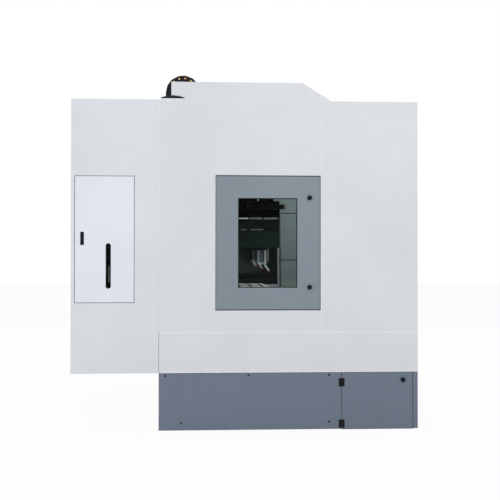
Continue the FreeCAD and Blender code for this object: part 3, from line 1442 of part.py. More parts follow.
for level in ("sight_bottom + sight_width / 2",
              "sight_bottom + sight_height - sight_width / 2"):
    turned_hole(cabinet_door, "x", sight_y, level, "sight_width / 2", "-side - 1",
                "-side + skin + 1")
cabinet_axis = "cabinet_door_start - hinge_axis_offset"
lock_body = cut(
    box("-side", "-side + lock_depth", *lock_hole),
    box("-side - 1", "-side + lock_depth - 3", f"{lock_hole[0]} + 3", f"{lock_hole[1]} - 3",
        f"{lock_hole[2]} + 3", f"{lock_hole[3]} - 3"),
)
node("cabinet_side_door", cabinet_door, lock_body,
     *[moving_hinge(cabinet_axis, -1, place)
       for place in hinge_heights("cabinet_door_bottom", "cabinet_door_top")])
node("oil_sight_window", box(
    "-side + skin", "-side + skin + glass", f"{sight_y} - sight_width / 2 - 12",
    f"{sight_y} + sight_width / 2 + 12", "sight_bottom - 12",
    "sight_bottom + sight_height + 12"))
flap_pivot = f"{lock_hole[3]} - 9"
node("cabinet_side_lock", fuse(
    box("-side + 1", "-side + 1 + lock_flap", f"{lock_hole[0]} + 4", f"{lock_hole[1]} - 4",
        f"{lock_hole[2]} + 5", flap_pivot),
    rod("y", "-side + 6", f"{lock_hole[0]} + 3.3", flap_pivot, "5", "lock_width - 6.6"),
))
node(
    "cabinet_equipment",
    box("-side + mounting_plate_gap", "side - mounting_plate_gap", "rear - skin - 60",
        "rear - skin - 57", "base_height + 200", "roof_height - 200"),
    *[box(f"{x} - 20", f"{x} + 20", "rear - skin - 57", "rear - skin",
          "base_height + 300", "base_height + 360") for x in ("-700", "0", "700")],
    *[box(f"-side + {left}", f"-side + {left} + {width}", f"rear - skin - 60 - {depth}",
          "rear - skin - 60", f"{bottom}", f"{bottom} + {height}")
      for left, width, depth, bottom, height in (
          (260, 380, 180, 1700, 420), (700, 260, 200, 1700, 420), (1000, 260, 200, 1700, 420),
          (1300, 260, 200, 1700, 420), (1620, 360, 160, 1700, 420),
          (360, 520, 90, 1250, 260), (940, 1040, 90, 1250, 260), (360, 400, 140, 720, 320),
          (1100, 880, 240, 720, 320))],
    box("-side + 60", "-side + 330", "back + sight_front - 60", "back + sight_front + 180",
        "sight_bottom - 120", "sight_bottom + sight_height + 20"),
    box("-side + 60", "-side + 330", "back + sight_front - 60", "back + sight_front + 180",
        "base_height + skin", "sight_bottom - 120"),
    rod("z", "-side + 45", sight_y, "sight_bottom + 10", "8", "sight_height / 2"),
    *[box("-side + 53", "-side + 60", f"{sight_y} - 5", f"{sight_y} + 5", level,
          f"{level} + 8") for level in ("sight_bottom + 20",
                                        "sight_bottom + sight_height / 2 - 10")],
)

# ---------------------------------------------------------------- front door and console

door_left = "-doorway_left - front_door_overlap"
door_right = "doorway_right + front_door_handle_margin"
front_door = new_body()
door_span = rectangle(door_left, door_right, "doorway_bottom - front_door_overlap",
                      "doorway_top + front_door_overlap")
front_pane = ("-front_window_left", "front_window_right", "front_window_bottom",
              "front_window_top")
pad(front_door, "xz", "front_door_face", "front_door_face + skin", door_span,
    rectangle(*front_pane))
pad(front_door, "xz", "front_door_face + skin", "front_door_face + fold", door_span,
    rectangle(f"{door_left} + door_rim", f"{door_right} - door_rim",
              "doorway_bottom - front_door_overlap + door_rim",
              "doorway_top + front_door_overlap - door_rim"))
pad(front_door, "xz", "front_door_face + skin", "front_door_face + fold",
    rectangle("-front_window_left - window_rim", "front_window_right + window_rim",
              "front_window_bottom - window_rim", "front_window_top + window_rim"),
    rectangle(*front_pane))
handle = fuse(
    rod("z", "handle_x", "front_door_face - handle_stand", "handle_bottom", "handle_radius",
        "handle_top - handle_bottom"),
    *[box("handle_x - 7", "handle_x + 7", "front_door_face - handle_stand", "front_door_face",
          f"{level} - 7", f"{level} + 7")
      for level in ("handle_bottom + 30", "handle_top - 30")],
)
node("front_door", front_door, handle)
node("front_door_window", box("-front_window_left", "front_window_right",
                              "front_door_face + skin", "front_door_face + skin + glass",
                              "front_window_bottom", "front_window_top"))

# each push button: its place along the row, its radius and how far its cap stands out
PUSH_BUTTONS = {
    "cycle_start_button": ("console_left + start_place", "14", "10"),
    "feed_hold_button": ("console_left + hold_place", "14", "10"),
    "estop_button": ("console_left + stop_place", "20", "26"),
}
wheel_x = "console_left + wheel_place"
dial_x = "console_left + knob_place"
console = box("console_left", "console_right", "console_face", "front + console_depth",
              "console_bottom + seam_half", "console_top - seam_half")
screen_left = "console_left + screen_margin"
screen = (screen_left, f"{screen_left} + screen_width")
console_cuts = [
    box(*screen, "console_face - 1", "console_face + screen_recess", "screen_bottom",
        "screen_top"),
]
for x, _, _ in PUSH_BUTTONS.values():
    console_cuts.append(box(f"{x} - stem_radius - push_play", f"{x} + stem_radius + push_play",
                            "console_face - 1", "console_face + stem_length + button_travel + 4",
                            "button_row - stem_radius - push_play",
                            "button_row + stem_radius + push_play"))
for x in (wheel_x, dial_x):
    console_cuts.append(rod("y", x, "console_face - 1", "button_row",
                            "stem_radius + bore_play", "stem_length + 2"))
node("operator_panel", cut(console, *console_cuts),
     box(*screen, "console_face + screen_recess - screen_thickness",
         "console_face + screen_recess", "screen_bottom", "screen_top"))
lift = "(button_travel + 1)"
for name, (x, radius, height) in PUSH_BUTTONS.items():
    cap = turned(
        "y", x, f"console_face - {lift} - {height}", "button_row",
        ("0", "0"), (f"{radius} - 2", "0"), (radius, "2"), (radius, height), ("0", height),
    )
    stem = box(f"{x} - stem_radius", f"{x} + stem_radius", f"console_face - {lift}",
               "console_face + stem_length", "button_row - stem_radius",
               "button_row + stem_radius")
    node(name, fuse(cap, stem))
node("feed_override_knob", turned(
    "y", dial_x, "console_face", "button_row",
    ("0", "-22"), ("18", "-22"), ("20", "-20"), ("22", "-0.5"),
    ("stem_radius", "-0.5"), ("stem_radius", "stem_length"), ("0", "stem_length"),
))
node("mpg_handwheel", fuse(
    turned("y", wheel_x, "console_face", "button_row",
           ("0", "-16"), ("38", "-16"), ("40", "-14"), ("40", "-1"),
           ("stem_radius", "-1"), ("stem_radius", "stem_length"),
           ("0", "stem_length")),
    rod("y", wheel_x, "console_face - 38", "button_row + 24", "7", "26"),
))

# ---------------------------------------------------------------- cable chain


def size(name):
    return sheet.get(name)


def link_plate(pitch, height, thickness, offset):
    """One side plate of a link, its ends faceted about each pin place."""
    corners = [
        (middle + height / 2 * math.cos(math.radians(angle)),
         height / 2 * math.sin(math.radians(angle)))
        for middle, first in ((pitch, -90), (0, 90)) for angle in range(first, first + 181, 36)
    ]
    wire = Part.makePolygon([Vector(offset, along, up) for along, up in corners + corners[:1]])
    return Part.Face(wire).extrude(Vector(thickness, 0, 0))


def chain_link(pitch, inner):
    """A link: two side plates and two cross bars; every other link's plates sit inside."""
    height = size("chain_height")
    thickness = size("chain_plate")
    bar = size("chain_bar")
    half = size("chain_width") / 2 - (thickness + size("chain_play") if inner else 0)
    plates = [link_plate(pitch, height, thickness, place) for place in (-half, half - thickness)]
    bars = [Part.makeBox(2 * half, pitch * 0.3, bar, Vector(-half, pitch * 0.35, level))
            for level in (-height / 2, height / 2 - bar)]
    return plates[0].fuse([plates[1], *bars]).removeSplitter()


def chain_path():
    """Pin places from the foot on the roof, over the arc and down into the hood."""
    radius = size("chain_radius")
    pitch = size("chain_pitch")
    back = size("overall_depth") / 2 - size("cabinet_depth")
    centre_y = back - size("chain_rear_inset") - radius
    foot_z = size("roof_height") + size("chain_height") / 2 + 0.5
    centre_z = foot_z + size("chain_rise")
    x = size("chain_inset") - size("overall_width") / 2
    step = 2 * math.asin(pitch / 2 / radius)
    points = [Vector(x, centre_y + radius, foot_z)]
    for index in range(int(math.pi / step) + 1):
        points.append(Vector(x, centre_y + radius * math.cos(index * step),
                             centre_z + radius * math.sin(index * step)))
    points.append(points[-1] - Vector(0, 0, pitch))
    return points


def end_tongue(point, floor, inner):
    """The bracket that stands between an end link's plates."""
    plate = size("chain_plate") + size("chain_play")
    half = size("chain_width") / 2 - plate * (2 if inner else 1)
    reach = size("chain_pitch") * 0.25
    return Part.makeBox(2 * half, 2 * reach, point.z + reach - floor,
                        Vector(point.x - half, point.y - reach, floor))


def chain():
    """Every link of the chain along its path and the bracket at either end."""
    points = chain_path()
    pieces = []
    for index, point in enumerate(points[:-1]):
        run = points[index + 1] - point
        link = chain_link(run.Length, index % 2 == 1)
        angle = math.degrees(math.atan2(run.z, run.y))
        link.Placement = FreeCAD.Placement(point, Rotation(Vector(1, 0, 0), angle))
        pieces.append(link)
    last_inner = len(points) % 2 == 1
    pieces.append(end_tongue(points[0], size("roof_height"), False))
    pieces.append(end_tongue(points[-1], size("roof_height") - size("skin"), last_inner))
    return pieces


chain_item = document.addObject("Part::Feature", "chain")
chain_item.Shape = Part.makeCompound(chain())
collar = cut(
    box(f"chain_x - ({chain_half}) - 6", f"chain_x + ({chain_half}) + 6", "hood_rear",
        "hood_rear + collar_length", "roof_height", "roof_height + collar_height"),
    box(f"chain_x - ({chain_half})", f"chain_x + {chain_half}", "hood_rear - 1",
        "hood_rear + collar_length - collar_wall", "roof_height - 1",
        "roof_height + collar_height + 1"),
)
node("cable_chain", chain_item, collar)

# ---------------------------------------------------------------- check and write

document.recompute()
for item in document.Objects:
    if "Invalid" in item.State or "Error" in item.State:
        raise RuntimeError(f"{item.Name} ({item.Label}) failed: {item.State}")

os.makedirs("parts", exist_ok=True)
for item in nodes:
    shape = item.Shape
    if shape.isNull() or not shape.isValid():
        raise RuntimeError(f"{item.Label} has no valid shape")
    shape.exportStep(f"parts/{item.Label}.step")
print(f"{len(nodes)} nodes written")
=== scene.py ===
import contextlib
import json
import math
from itertools import product

import bmesh
import bpy
from mathutils import Matrix, Vector


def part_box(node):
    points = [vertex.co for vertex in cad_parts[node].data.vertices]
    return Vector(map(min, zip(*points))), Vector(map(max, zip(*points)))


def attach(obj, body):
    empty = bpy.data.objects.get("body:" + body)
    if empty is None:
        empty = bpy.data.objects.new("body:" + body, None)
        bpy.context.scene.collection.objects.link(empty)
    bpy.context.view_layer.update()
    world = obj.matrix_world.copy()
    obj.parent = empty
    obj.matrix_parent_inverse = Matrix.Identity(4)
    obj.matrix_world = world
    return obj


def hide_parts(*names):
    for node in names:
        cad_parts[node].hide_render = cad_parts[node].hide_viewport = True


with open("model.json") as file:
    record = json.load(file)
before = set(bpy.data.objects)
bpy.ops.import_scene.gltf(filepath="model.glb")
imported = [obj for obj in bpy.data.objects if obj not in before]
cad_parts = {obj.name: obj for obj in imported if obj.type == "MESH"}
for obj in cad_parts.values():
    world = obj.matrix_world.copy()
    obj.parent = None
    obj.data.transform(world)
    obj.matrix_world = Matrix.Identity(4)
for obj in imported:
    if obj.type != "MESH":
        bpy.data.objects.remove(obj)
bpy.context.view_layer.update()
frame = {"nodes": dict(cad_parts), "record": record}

scene = bpy.context.scene

# --- places read from the frame

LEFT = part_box("left_outer_panels")[0].x
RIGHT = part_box("right_side_panels")[1].x
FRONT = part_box("front_fascia")[0].y
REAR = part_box("cabinet_shell")[1].y
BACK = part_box("cabinet_shell")[0].y
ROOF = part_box("cabinet_shell")[1].z
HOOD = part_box("roof_panels")[1].z
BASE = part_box("base_skirt_panels")[1].z
X, Y, Z = Vector((1, 0, 0)), Vector((0, 1, 0)), Vector((0, 0, 1))

# past every face of the machine, and the least distance between two faces
FAR = 9
HAIR = 0.0001

# --- camera

PHOTO = 500
FOCAL_PIXELS = 735
SENSOR = 36
CAMERA_PLACE = (-6.65, 0.233, 1.293)
CAMERA_YAW = 2.73
CAMERA_PITCH = 0.57
CAMERA_ROLL = 0.05


def add_camera():
    """The photograph's view: square on to the side with the glazed door."""
    data = bpy.data.cameras.new("camera")
    data.sensor_width = SENSOR
    data.lens = FOCAL_PIXELS / PHOTO * SENSOR
    data.clip_end = 100
    camera = bpy.data.objects.new("camera", data)
    scene.collection.objects.link(camera)
    facing = Matrix.Rotation(math.radians(-90), 4, "Z") @ Matrix.Rotation(math.radians(90), 4, "X")
    yaw = Matrix.Rotation(math.radians(-CAMERA_YAW), 4, "Z")
    tilt = Matrix.Rotation(math.radians(CAMERA_PITCH), 4, "X")
    roll = Matrix.Rotation(math.radians(CAMERA_ROLL), 4, "Z")
    camera.matrix_world = Matrix.Translation(CAMERA_PLACE) @ yaw @ facing @ tilt @ roll
    scene.camera = camera


add_camera()

# --- materials


class Nodes:
    """A node tree, with short names for its nodes and links."""

    def __init__(self, tree):
        self.tree = tree

    def add(self, kind, **values):
        """A node; values are its own settings or the values of its inputs."""
        node = self.tree.nodes.new(kind)
        for key, value in values.items():
            if hasattr(node, key):
                setattr(node, key, value)
            else:
                node.inputs[key].default_value = value
        return node

    def feed(self, value, socket):
        """Link an output to a socket, or write a value into it."""
        if isinstance(value, bpy.types.NodeSocket):
            self.tree.links.new(value, socket)
        else:
            socket.default_value = value

    def sums(self, operation, first, second):
        node = self.add("ShaderNodeMath", operation=operation)
        self.feed(first, node.inputs[0])
        self.feed(second, node.inputs[1])
        return node.outputs[0]

    def seen(self):
        """1 for rays of the camera, also in mirrors and through glass, and 0 for others."""
        path = self.add("ShaderNodeLightPath")
        seen = path.outputs["Is Camera Ray"]
        for other in ("Is Glossy Ray", "Is Transmission Ray"):
            seen = self.sums("MAXIMUM", seen, path.outputs[other])
        return seen

    def finish(self, share, first, second, output):
        """Send a mix of two shader outputs to the output node."""
        mix = self.add("ShaderNodeMixShader")
        for value, socket in zip((share, first, second), mix.inputs):
            self.feed(value, socket)
        self.feed(mix.outputs[0], output.inputs["Surface"])


class Shader(Nodes):
    """A material under construction."""

    def __init__(self, name):
        self.material = bpy.data.materials.new(name)
        self.material.use_nodes = True
        super().__init__(self.material.node_tree)
        self.surface = self.tree.nodes["Principled BSDF"]
        self.output = self.tree.nodes["Material Output"]
        self.place = self.add("ShaderNodeTexCoord").outputs["Object"]

    def set(self, socket, value):
        self.feed(value, self.surface.inputs[socket])

    def stretched(self, scales):
        """Object coordinates scaled apart along the axes, for brushed looks."""
        mapping = self.add("ShaderNodeMapping", Scale=scales)
        self.feed(self.place, mapping.inputs["Vector"])
        return mapping.outputs["Vector"]

    def noise(self, scale, detail, roughness=0.5, vector=None):
        texture = self.add("ShaderNodeTexNoise", Scale=scale, Detail=detail, Roughness=roughness)
        self.feed(vector or self.place, texture.inputs["Vector"])
        return texture.outputs["Fac"]

    def ramp(self, source, value, *stops):
        """A colour or a grey times factors; stops pair places from 0 to 1 with factors."""
        ramp = self.add("ShaderNodeValToRGB")
        colour = value if isinstance(value, tuple) else (value,) * 3
        for element, (place, factor) in zip(ramp.color_ramp.elements, stops):
            element.position = place
            element.color = (*(min(1.0, part * factor) for part in colour), 1)
        self.feed(source, ramp.inputs["Fac"])
        return ramp.outputs["Color"]

    def multiplied(self, first, second):
        """The product of two colour outputs."""
        mix = self.add("ShaderNodeMix", data_type="RGBA", blend_type="MULTIPLY")
        for value, socket in ((1.0, mix.inputs[0]), (first, mix.inputs[6]), (second, mix.inputs[7])):
            self.feed(value, socket)
        return mix.outputs[2]

    def bump(self, height, distance, strength, soft_edge):
        """Relief from a height output, over edges rounded by soft_edge metres."""
        bump = self.add("ShaderNodeBump", Strength=strength, Distance=distance)
        self.feed(height, bump.inputs["Height"])
        bevel = self.add("ShaderNodeBevel", samples=4, Radius=soft_edge)
        self.feed(bevel.outputs["Normal"], bump.inputs["Normal"])
        self.set("Normal", bump.outputs["Normal"])


def painted(name, colour, roughness, gloss=0.5):
    """Powder-coated sheet: fine orange peel, faint cloudy patches and dusty speckle."""
    shader = Shader(name)
    shader.set("Specular IOR Level", gloss)
    tone = shader.ramp(shader.noise(1.7, 4.0), colour, (0.3, 0.97), (0.7, 1.03))
    speckle = shader.ramp(shader.noise(160.0, 3.0), 1.0, (0.32, 0.94), (0.62, 1.0))
    shader.set("Base Color", shader.multiplied(tone, speckle))
    shader.set("Roughness", shader.ramp(shader.noise(9.0, 5.0), roughness, (0.25, 0.85), (0.75, 1.15)))
    shader.bump(shader.noise(420.0, 2.0), 0.00035, 0.15, 0.0012)
    return shader.material


def metal(name, colour, roughness, axis):
    """Ground or brushed metal: streaks along one axis, in colour, gloss and relief."""
    shader = Shader(name)
    scales = {"x": (6, 900, 900), "y": (900, 6, 900), "z": (900, 900, 6)}[axis]
    lines = shader.noise(1.0, 3.0, 0.6, shader.stretched(scales))
    worn = shader.sums("MULTIPLY", lines, shader.noise(12.0, 4.0))
    shader.set("Base Color", shader.ramp(lines, colour, (0.2, 0.86), (0.8, 1.14)))
    shader.set("Metallic", 1.0)
    shader.set("Roughness", shader.ramp(worn, roughness, (0.1, 0.7), (0.45, 1.4)))
    shader.bump(lines, 0.00012, 0.25, 0.0006)
    return shader.material


def cast(name, colour, roughness):
    """Painted casting: coarse skin under thick paint."""
    shader = Shader(name)
    coarse = shader.noise(55.0, 6.0, 0.65)
    shader.set("Base Color", shader.ramp(shader.noise(3.0, 3.0), colour, (0.3, 0.9), (0.7, 1.08)))
    shader.set("Roughness", shader.ramp(coarse, roughness, (0.3, 0.8), (0.7, 1.2)))
    shader.bump(coarse, 0.0012, 0.5, 0.003)
    return shader.material


def plastic(name, colour, roughness, gloss=0.5, grain=0.25):
    """Moulded plastic with a fine spark-eroded texture and slight scuffing."""
    shader = Shader(name)
    shader.set("Specular IOR Level", gloss)
    scuffs = shader.noise(24.0, 6.0, 0.7)
    shader.set("Base Color", shader.ramp(scuffs, colour, (0.35, 0.85), (0.75, 1.15)))
    shader.set("Roughness", shader.ramp(scuffs, roughness, (0.3, 0.8), (0.75, 1.3)))
    shader.bump(shader.noise(900.0, 2.0), 0.0002, grain, 0.0008)
    return shader.material


def glass(name, tint):
    """Clear safety glass that lets lamps through, with faint smears in its gloss."""
    shader = Shader(name)
    tint = (*tint, 1)
    shader.set("Base Color", tint)
    shader.set("Transmission Weight", 1.0)
    shader.set("IOR", 1.08)
    shader.set("Roughness", shader.ramp(shader.noise(7.0, 5.0), 0.06, (0.45, 0.0), (0.85, 1.0)))
    shadow = shader.add("ShaderNodeLightPath").outputs["Is Shadow Ray"]
    clear = shader.add("ShaderNodeBsdfTransparent", Color=tint)
    shader.finish(shadow, shader.surface.outputs[0], clear.outputs[0], shader.output)
    return shader.material


DARK_GLOSS = 0.08
SMOOTH = 0.05
LOOKS = {}


def make_looks(maker, **rows):
    """Materials by name. A row starts with a colour and goes on with the maker's values."""
    for name, row in rows.items():
        LOOKS[name] = maker(name, row[:3], *row[3:])


make_looks(
    painted,
    panel_white=(0.8, 0.812, 0.822, 0.45),
    cabinet_white=(0.81, 0.83, 0.85, 0.45),
    cabinet_door_white=(0.88, 0.905, 0.945, 0.42),
    door_grey=(0.24, 0.28, 0.318, 0.42),
    base_grey=(0.158, 0.19, 0.245, 0.5),
    frame_grey=(0.3, 0.33, 0.36, 0.5),
    chamber_paint=(0.34, 0.405, 0.402, 0.5, 0.12),
    # a lighter copy of the chamber paint: painted light on the far wall's sill
    sill_green=(0.4, 0.47, 0.43, 0.5, 0.12),
    head_paint=(0.012, 0.018, 0.019, 0.4, DARK_GLOSS),
    # tones of the head's dark paint that paint light and shade: the black one is painted shade on the
    # head and the magazine housing; the green one is lighter on the head, and on the right window's
    # sill it is a shaded copy of the chamber paint
    head_black=(0.0035, 0.005, 0.006, 0.4, 0.04),
    head_olive=(0.022, 0.03, 0.022, 0.4, DARK_GLOSS),
    head_green=(0.022, 0.038, 0.038, 0.4, DARK_GLOSS),
    motor_black=(0.01, 0.011, 0.012, 0.4, DARK_GLOSS),
    magazine_steel=(0.03, 0.034, 0.036, 0.45, DARK_GLOSS),
    arm_steel=(0.012, 0.012, 0.013, 0.4, DARK_GLOSS),
    # a bluish satin grey that paints the reflections on the spindle's steel cartridge
    cartridge_steel=(0.11, 0.125, 0.15, 0.3, 0.6),
    # beige tones that paint the highlights along the head's ledges
    dull_steel=(0.62, 0.6, 0.52, 0.35, 0.3),
    worn_steel=(0.46, 0.46, 0.4, 0.4, 0.3),
    # painted sheen of the table's ground steel top
    table_top=(0.86, 0.85, 0.79, 0.5, 0.2),
    tank_steel=(0.33, 0.35, 0.36, 0.5),
    equipment=(0.52, 0.53, 0.53, 0.5),
    console_grey=(0.2, 0.22, 0.24, 0.45),
)
make_looks(cast, casting=(0.22, 0.26, 0.26, 0.55))
make_looks(
    metal,
    machined=(0.42, 0.43, 0.43, 0.32, "x"),
    guideway=(0.55, 0.56, 0.57, 0.22, "y"),
    screw_steel=(0.56, 0.57, 0.58, 0.2, "y"),
    cover_steel=(0.5, 0.53, 0.52, 0.3, "x"),
    nose_steel=(0.72, 0.73, 0.74, 0.15, "z"),
    feet_steel=(0.28, 0.29, 0.3, 0.45, "z"),
    bright_steel=(0.86, 0.88, 0.87, 0.25, "y"),
    # painted shade in the table's T-slots
    slot_dark=(0.05, 0.05, 0.05, 0.5, "x"),
    brass=(0.52, 0.36, 0.16, 0.4, "z"),
)
make_looks(
    plastic,
    nozzle_orange=(0.75, 0.08, 0.02, 0.35),
    black_plastic=(0.006, 0.006, 0.008, 0.38, 0.16),
    lock_black=(0.006, 0.009, 0.018, 0.4, 0.1),
    stop_red=(0.62, 0.015, 0.01, 0.3),
    start_green=(0.02, 0.3, 0.08, 0.3),
    hold_yellow=(0.75, 0.45, 0.02, 0.3),
    # a white brighter than the panels: painted highlight on the side seams and on the bulge under the
    # chain's collar
    gasket_white=(0.96, 0.965, 0.97, 0.5),
    # painted shadow of the gaps round the left side's doors
    edging_blue_black=(0.028, 0.034, 0.07, 0.5),
    rubber=(0.01, 0.01, 0.011, 0.6, 0.25),
    hose_blue=(0.16, 0.3, 0.55, 0.45),
    cable_grey=(0.32, 0.33, 0.34, 0.5),
    # dark joints, and painted shade behind the vents' louvres
    joint_dark=(0.006, 0.008, 0.008, 0.7, 0.05),
    # painted shade of the dim view through the right window
    dark_pane=(0.012, 0.019, 0.018, 0.12, 0.3, SMOOTH),
    # painted shade in and behind the oil sight slot
    sight_black=(0.006, 0.006, 0.008, 0.5, 0.1),
    pipe_blue=(0.62, 0.74, 0.88, 0.3),
    pipe_white=(0.94, 0.94, 0.92, 0.3),
    screen_black=(0.006, 0.007, 0.009, 0.12, 0.5, SMOOTH),
    screen_blue=(0.03, 0.1, 0.28, 0.25, 0.5, SMOOTH),
    screen_dark=(0.02, 0.028, 0.038, 0.25, 0.5, SMOOTH),
    screen_green=(0.1, 0.45, 0.22, 0.25, 0.5, SMOOTH),
    key_grey=(0.36, 0.38, 0.4, 0.45),
    key_light=(0.72, 0.73, 0.74, 0.45),
    breaker_grey=(0.6, 0.61, 0.6, 0.5),
    duct_grey=(0.42, 0.44, 0.46, 0.55),
)
make_looks(glass, clear_glass=(0.86, 0.92, 0.9))
# the magazine housing takes the near-black head paint instead of its slot's paint: painted shade at
# the top of the chamber
NODE_LOOKS = {"cabinet_side_door": "cabinet_door_white", "magazine_housing": "head_black",
              # the spindle cartridge gets painted reflections in place of bare steel
              "spindle_cartridge": "cartridge_steel"}


def finish_nodes():
    """Give every carried-over node its own look or the material of its slot."""
    for part in frame["record"]["subparts"]:
        mesh = frame["nodes"][part["node"]].data
        mesh.materials.clear()
        mesh.materials.append(LOOKS[NODE_LOOKS.get(part["node"], part["material_slot"])])


# how squarely a face looks along a direction to count as facing it
FACING = 0.9


def repaint(name, look, low=(-FAR, -FAR, -FAR), high=(FAR, FAR, FAR), facing=None):
    """Give another look to the faces of a node whose middles lie between two corners."""
    mesh = frame["nodes"][name].data
    mesh.materials.append(LOOKS[look])
    number = len(mesh.materials) - 1
    for face in mesh.polygons:
        inside = all(a <= value <= b for a, value, b in zip(low, face.center, high))
        if inside and (facing is None or face.normal.dot(facing) > FACING):
            face.material_index = number


finish_nodes()

# --- mesh helpers


def spaced(start, pitch, count):
    """Places a pitch apart."""
    return [start + index * pitch for index in range(count)]


def around(count):
    """Angles spread over a full turn."""
    return [2 * math.pi * index / count for index in range(count)]


def polar(radius, angle, along=0):
    return Vector((radius * math.cos(angle), radius * math.sin(angle), along))


def add_block(mesh, low, high):
    """A box between two corners."""
    corners = [mesh.verts.new(point) for point in product(*zip(low, high))]
    for face in ((0, 1, 3, 2), (4, 6, 7, 5), (0, 4, 5, 1), (2, 3, 7, 6), (0, 2, 6, 4), (1, 5, 7, 3)):
        mesh.faces.new([corners[index] for index in face])


def add_rings(mesh, rings, closed=False):
    """Skin a row of equal rings of points; open rows get an end face each."""
    verts = [[mesh.verts.new(point) for point in ring] for ring in rings]
    count = len(verts[0])
    for row in range(len(verts) if closed else len(verts) - 1):
        near, far = verts[row], verts[(row + 1) % len(verts)]
        for index in range(count):
            after = (index + 1) % count
            mesh.faces.new((near[index], near[after], far[after], far[index]))
    if not closed:
        mesh.faces.new(verts[0][::-1])
        mesh.faces.new(verts[-1])


def add_plate(mesh, outline, axis, low, high):
    """An outline of points across an axis, thickened between two levels along it."""
    place = "xyz".index(axis)
    add_rings(mesh, [[(*point[:place], level, *point[place:]) for point in outline]
                     for level in (low, high)])


def add_turned(mesh, place, direction, profile, sides=24, hollow=False):
    """A revolved solid. The profile lists radius and distance; a third value makes that ring
    a polygon of as many corners, for sockets and nuts. A hollow one's profile closes on
    itself round the axis."""
    turn = direction.to_track_quat("Z", "Y")
    rings = []
    for radius, along, *corners in profile:
        ring = []
        for angle in around(sides):
            reach = radius
            if corners:
                wedge = 2 * math.pi / corners[0]
                reach = radius * math.cos(wedge / 2) / math.cos(angle % wedge - wedge / 2)
            ring.append(Vector(place) + turn @ polar(reach, angle, along))
        rings.append(ring)
    add_rings(mesh, rings, hollow)


def add_tube(mesh, points, radius, sides=12):
    """A round bar along a row of points."""
    rings = []
    for index, point in enumerate(points):
        before, after = points[max(index - 1, 0)], points[min(index + 1, len(points) - 1)]
        turn = (after - before).normalized().to_track_quat("Z", "Y")
        rings.append([point + turn @ polar(radius, angle) for angle in around(sides)])
    add_rings(mesh, rings)


def add_frame(mesh, outer_low, outer_high, border, axis, low, high, without=None):
    """A rectangular frame across an axis, its border as wide as given; one bar may be left off."""
    (left, foot), (right, top) = outer_low, outer_high
    bars = {"foot": (left, foot, right, foot + border), "top": (left, top - border, right, top),
            "front": (left, foot + border, left + border, top - border),
            "rear": (right - border, foot + border, right, top - border)}
    for side, (first, lower, last, upper) in bars.items():
        if side != without:
            outline = [(first, lower), (last, lower), (last, upper), (first, upper)]
            add_plate(mesh, outline, axis, low, high)


def add_screw(mesh, place, direction, radius):
    """A socket screw: a washer, a head with a rounded rim and its six-sided socket."""
    add_turned(mesh, place, direction, [
        (radius * 1.5, -0.0002), (radius * 1.5, 0.0009), (radius, 0.001), (radius, radius * 0.9),
        (radius * 0.85, radius * 1.05), (radius * 0.55, radius * 1.05, 6),
        (radius * 0.5, radius * 0.5, 6),
    ])


SHARP = math.radians(35)


@contextlib.contextmanager
def piece(name, look, body="root", chamfer=0.0, slot=None, stands_for=None):
    """Collect mesh code into a piece that rides on a body and may stand for a node. The slot argument
    is not used."""
    mesh = bmesh.new()
    yield mesh
    bmesh.ops.recalc_face_normals(mesh, faces=mesh.faces)
    data = bpy.data.meshes.new(name)
    mesh.to_mesh(data)
    mesh.free()
    data.shade_smooth()
    data.set_sharp_from_angle(angle=SHARP)
    data.materials.append(LOOKS[look])
    item = bpy.data.objects.new(name, data)
    scene.collection.objects.link(item)
    if chamfer:
        bevel = item.modifiers.new("chamfer", "BEVEL")
        bevel.width = chamfer
        bevel.segments = 2
        bevel.limit_method = "ANGLE"
    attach(item, body)
    if stands_for:
        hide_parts(stands_for)


# --- outside: seams and screws

SEAM = 0.004
BAY_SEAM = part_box("left_side_panel")[0].y - SEAM / 2
STRIP_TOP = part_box("left_side_panel")[0].z - SEAM / 2
HOOD_FOOT = FRONT + 0.658
HOOD_FLAT_END = FRONT + 0.872
SLOPE_AT_SEAM = ROOF + (HOOD - ROOF) * (BAY_SEAM - HOOD_FOOT) / (HOOD_FLAT_END - HOOD_FOOT)
SIDE_DOOR_LENGTH = 0.785
TANK_DOOR_LENGTH = 0.538
CABINET_DOOR = (Vector((LEFT, BACK - SEAM / 2 + 0.185, 0.957)),
                Vector((LEFT, BACK - SEAM / 2 + 0.62, 1.895)))
OUTWARD = {LEFT: -X, RIGHT: X}


def add_seam_strips():
    """Pale sealing strips in the seams between the side panels, each with a flat lip, in a white
    brighter than the panels: a painted highlight of the sheets' bent edges along the seams.
    """
    stem, lip, depth, proud = SEAM / 2 - 0.0005, 0.0034, 0.007, 0.0007
    foot, foot_half = BASE + SEAM / 2 + 0.0055, 0.005
    upright_foot, back_seam = STRIP_TOP + SEAM, BACK - SEAM / 2
    front, rear = FRONT + 0.001, BACK - SEAM
    with piece("seam_highlight_strips", "gasket_white", chamfer=0.0003) as mesh:
        for side in (LEFT, RIGHT):
            for half, far in ((stem, -depth), (lip, proud)):
                near_x, far_x = side + OUTWARD[side].x * HAIR, side + OUTWARD[side].x * far
                strips = [
                    (BAY_SEAM - half, BAY_SEAM + half, upright_foot, SLOPE_AT_SEAM - 0.002),
                    (back_seam - half, back_seam + half, upright_foot, ROOF - 0.004),
                    (front, rear, STRIP_TOP - half * 1.25, STRIP_TOP + half * 1.25),
                ]
                if half == lip:
                    strips.append((front, rear, foot - foot_half, foot + foot_half))
                for y_low, y_high, z_low, z_high in strips:
                    add_block(mesh, (near_x, y_low, z_low), (far_x, y_high, z_high))


def door_leaf(node, length):
    """The corners of a leaf of the left side, without its hinge arms."""
    low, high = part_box(node)
    return low, Vector((high.x, low.y + length, high.z))


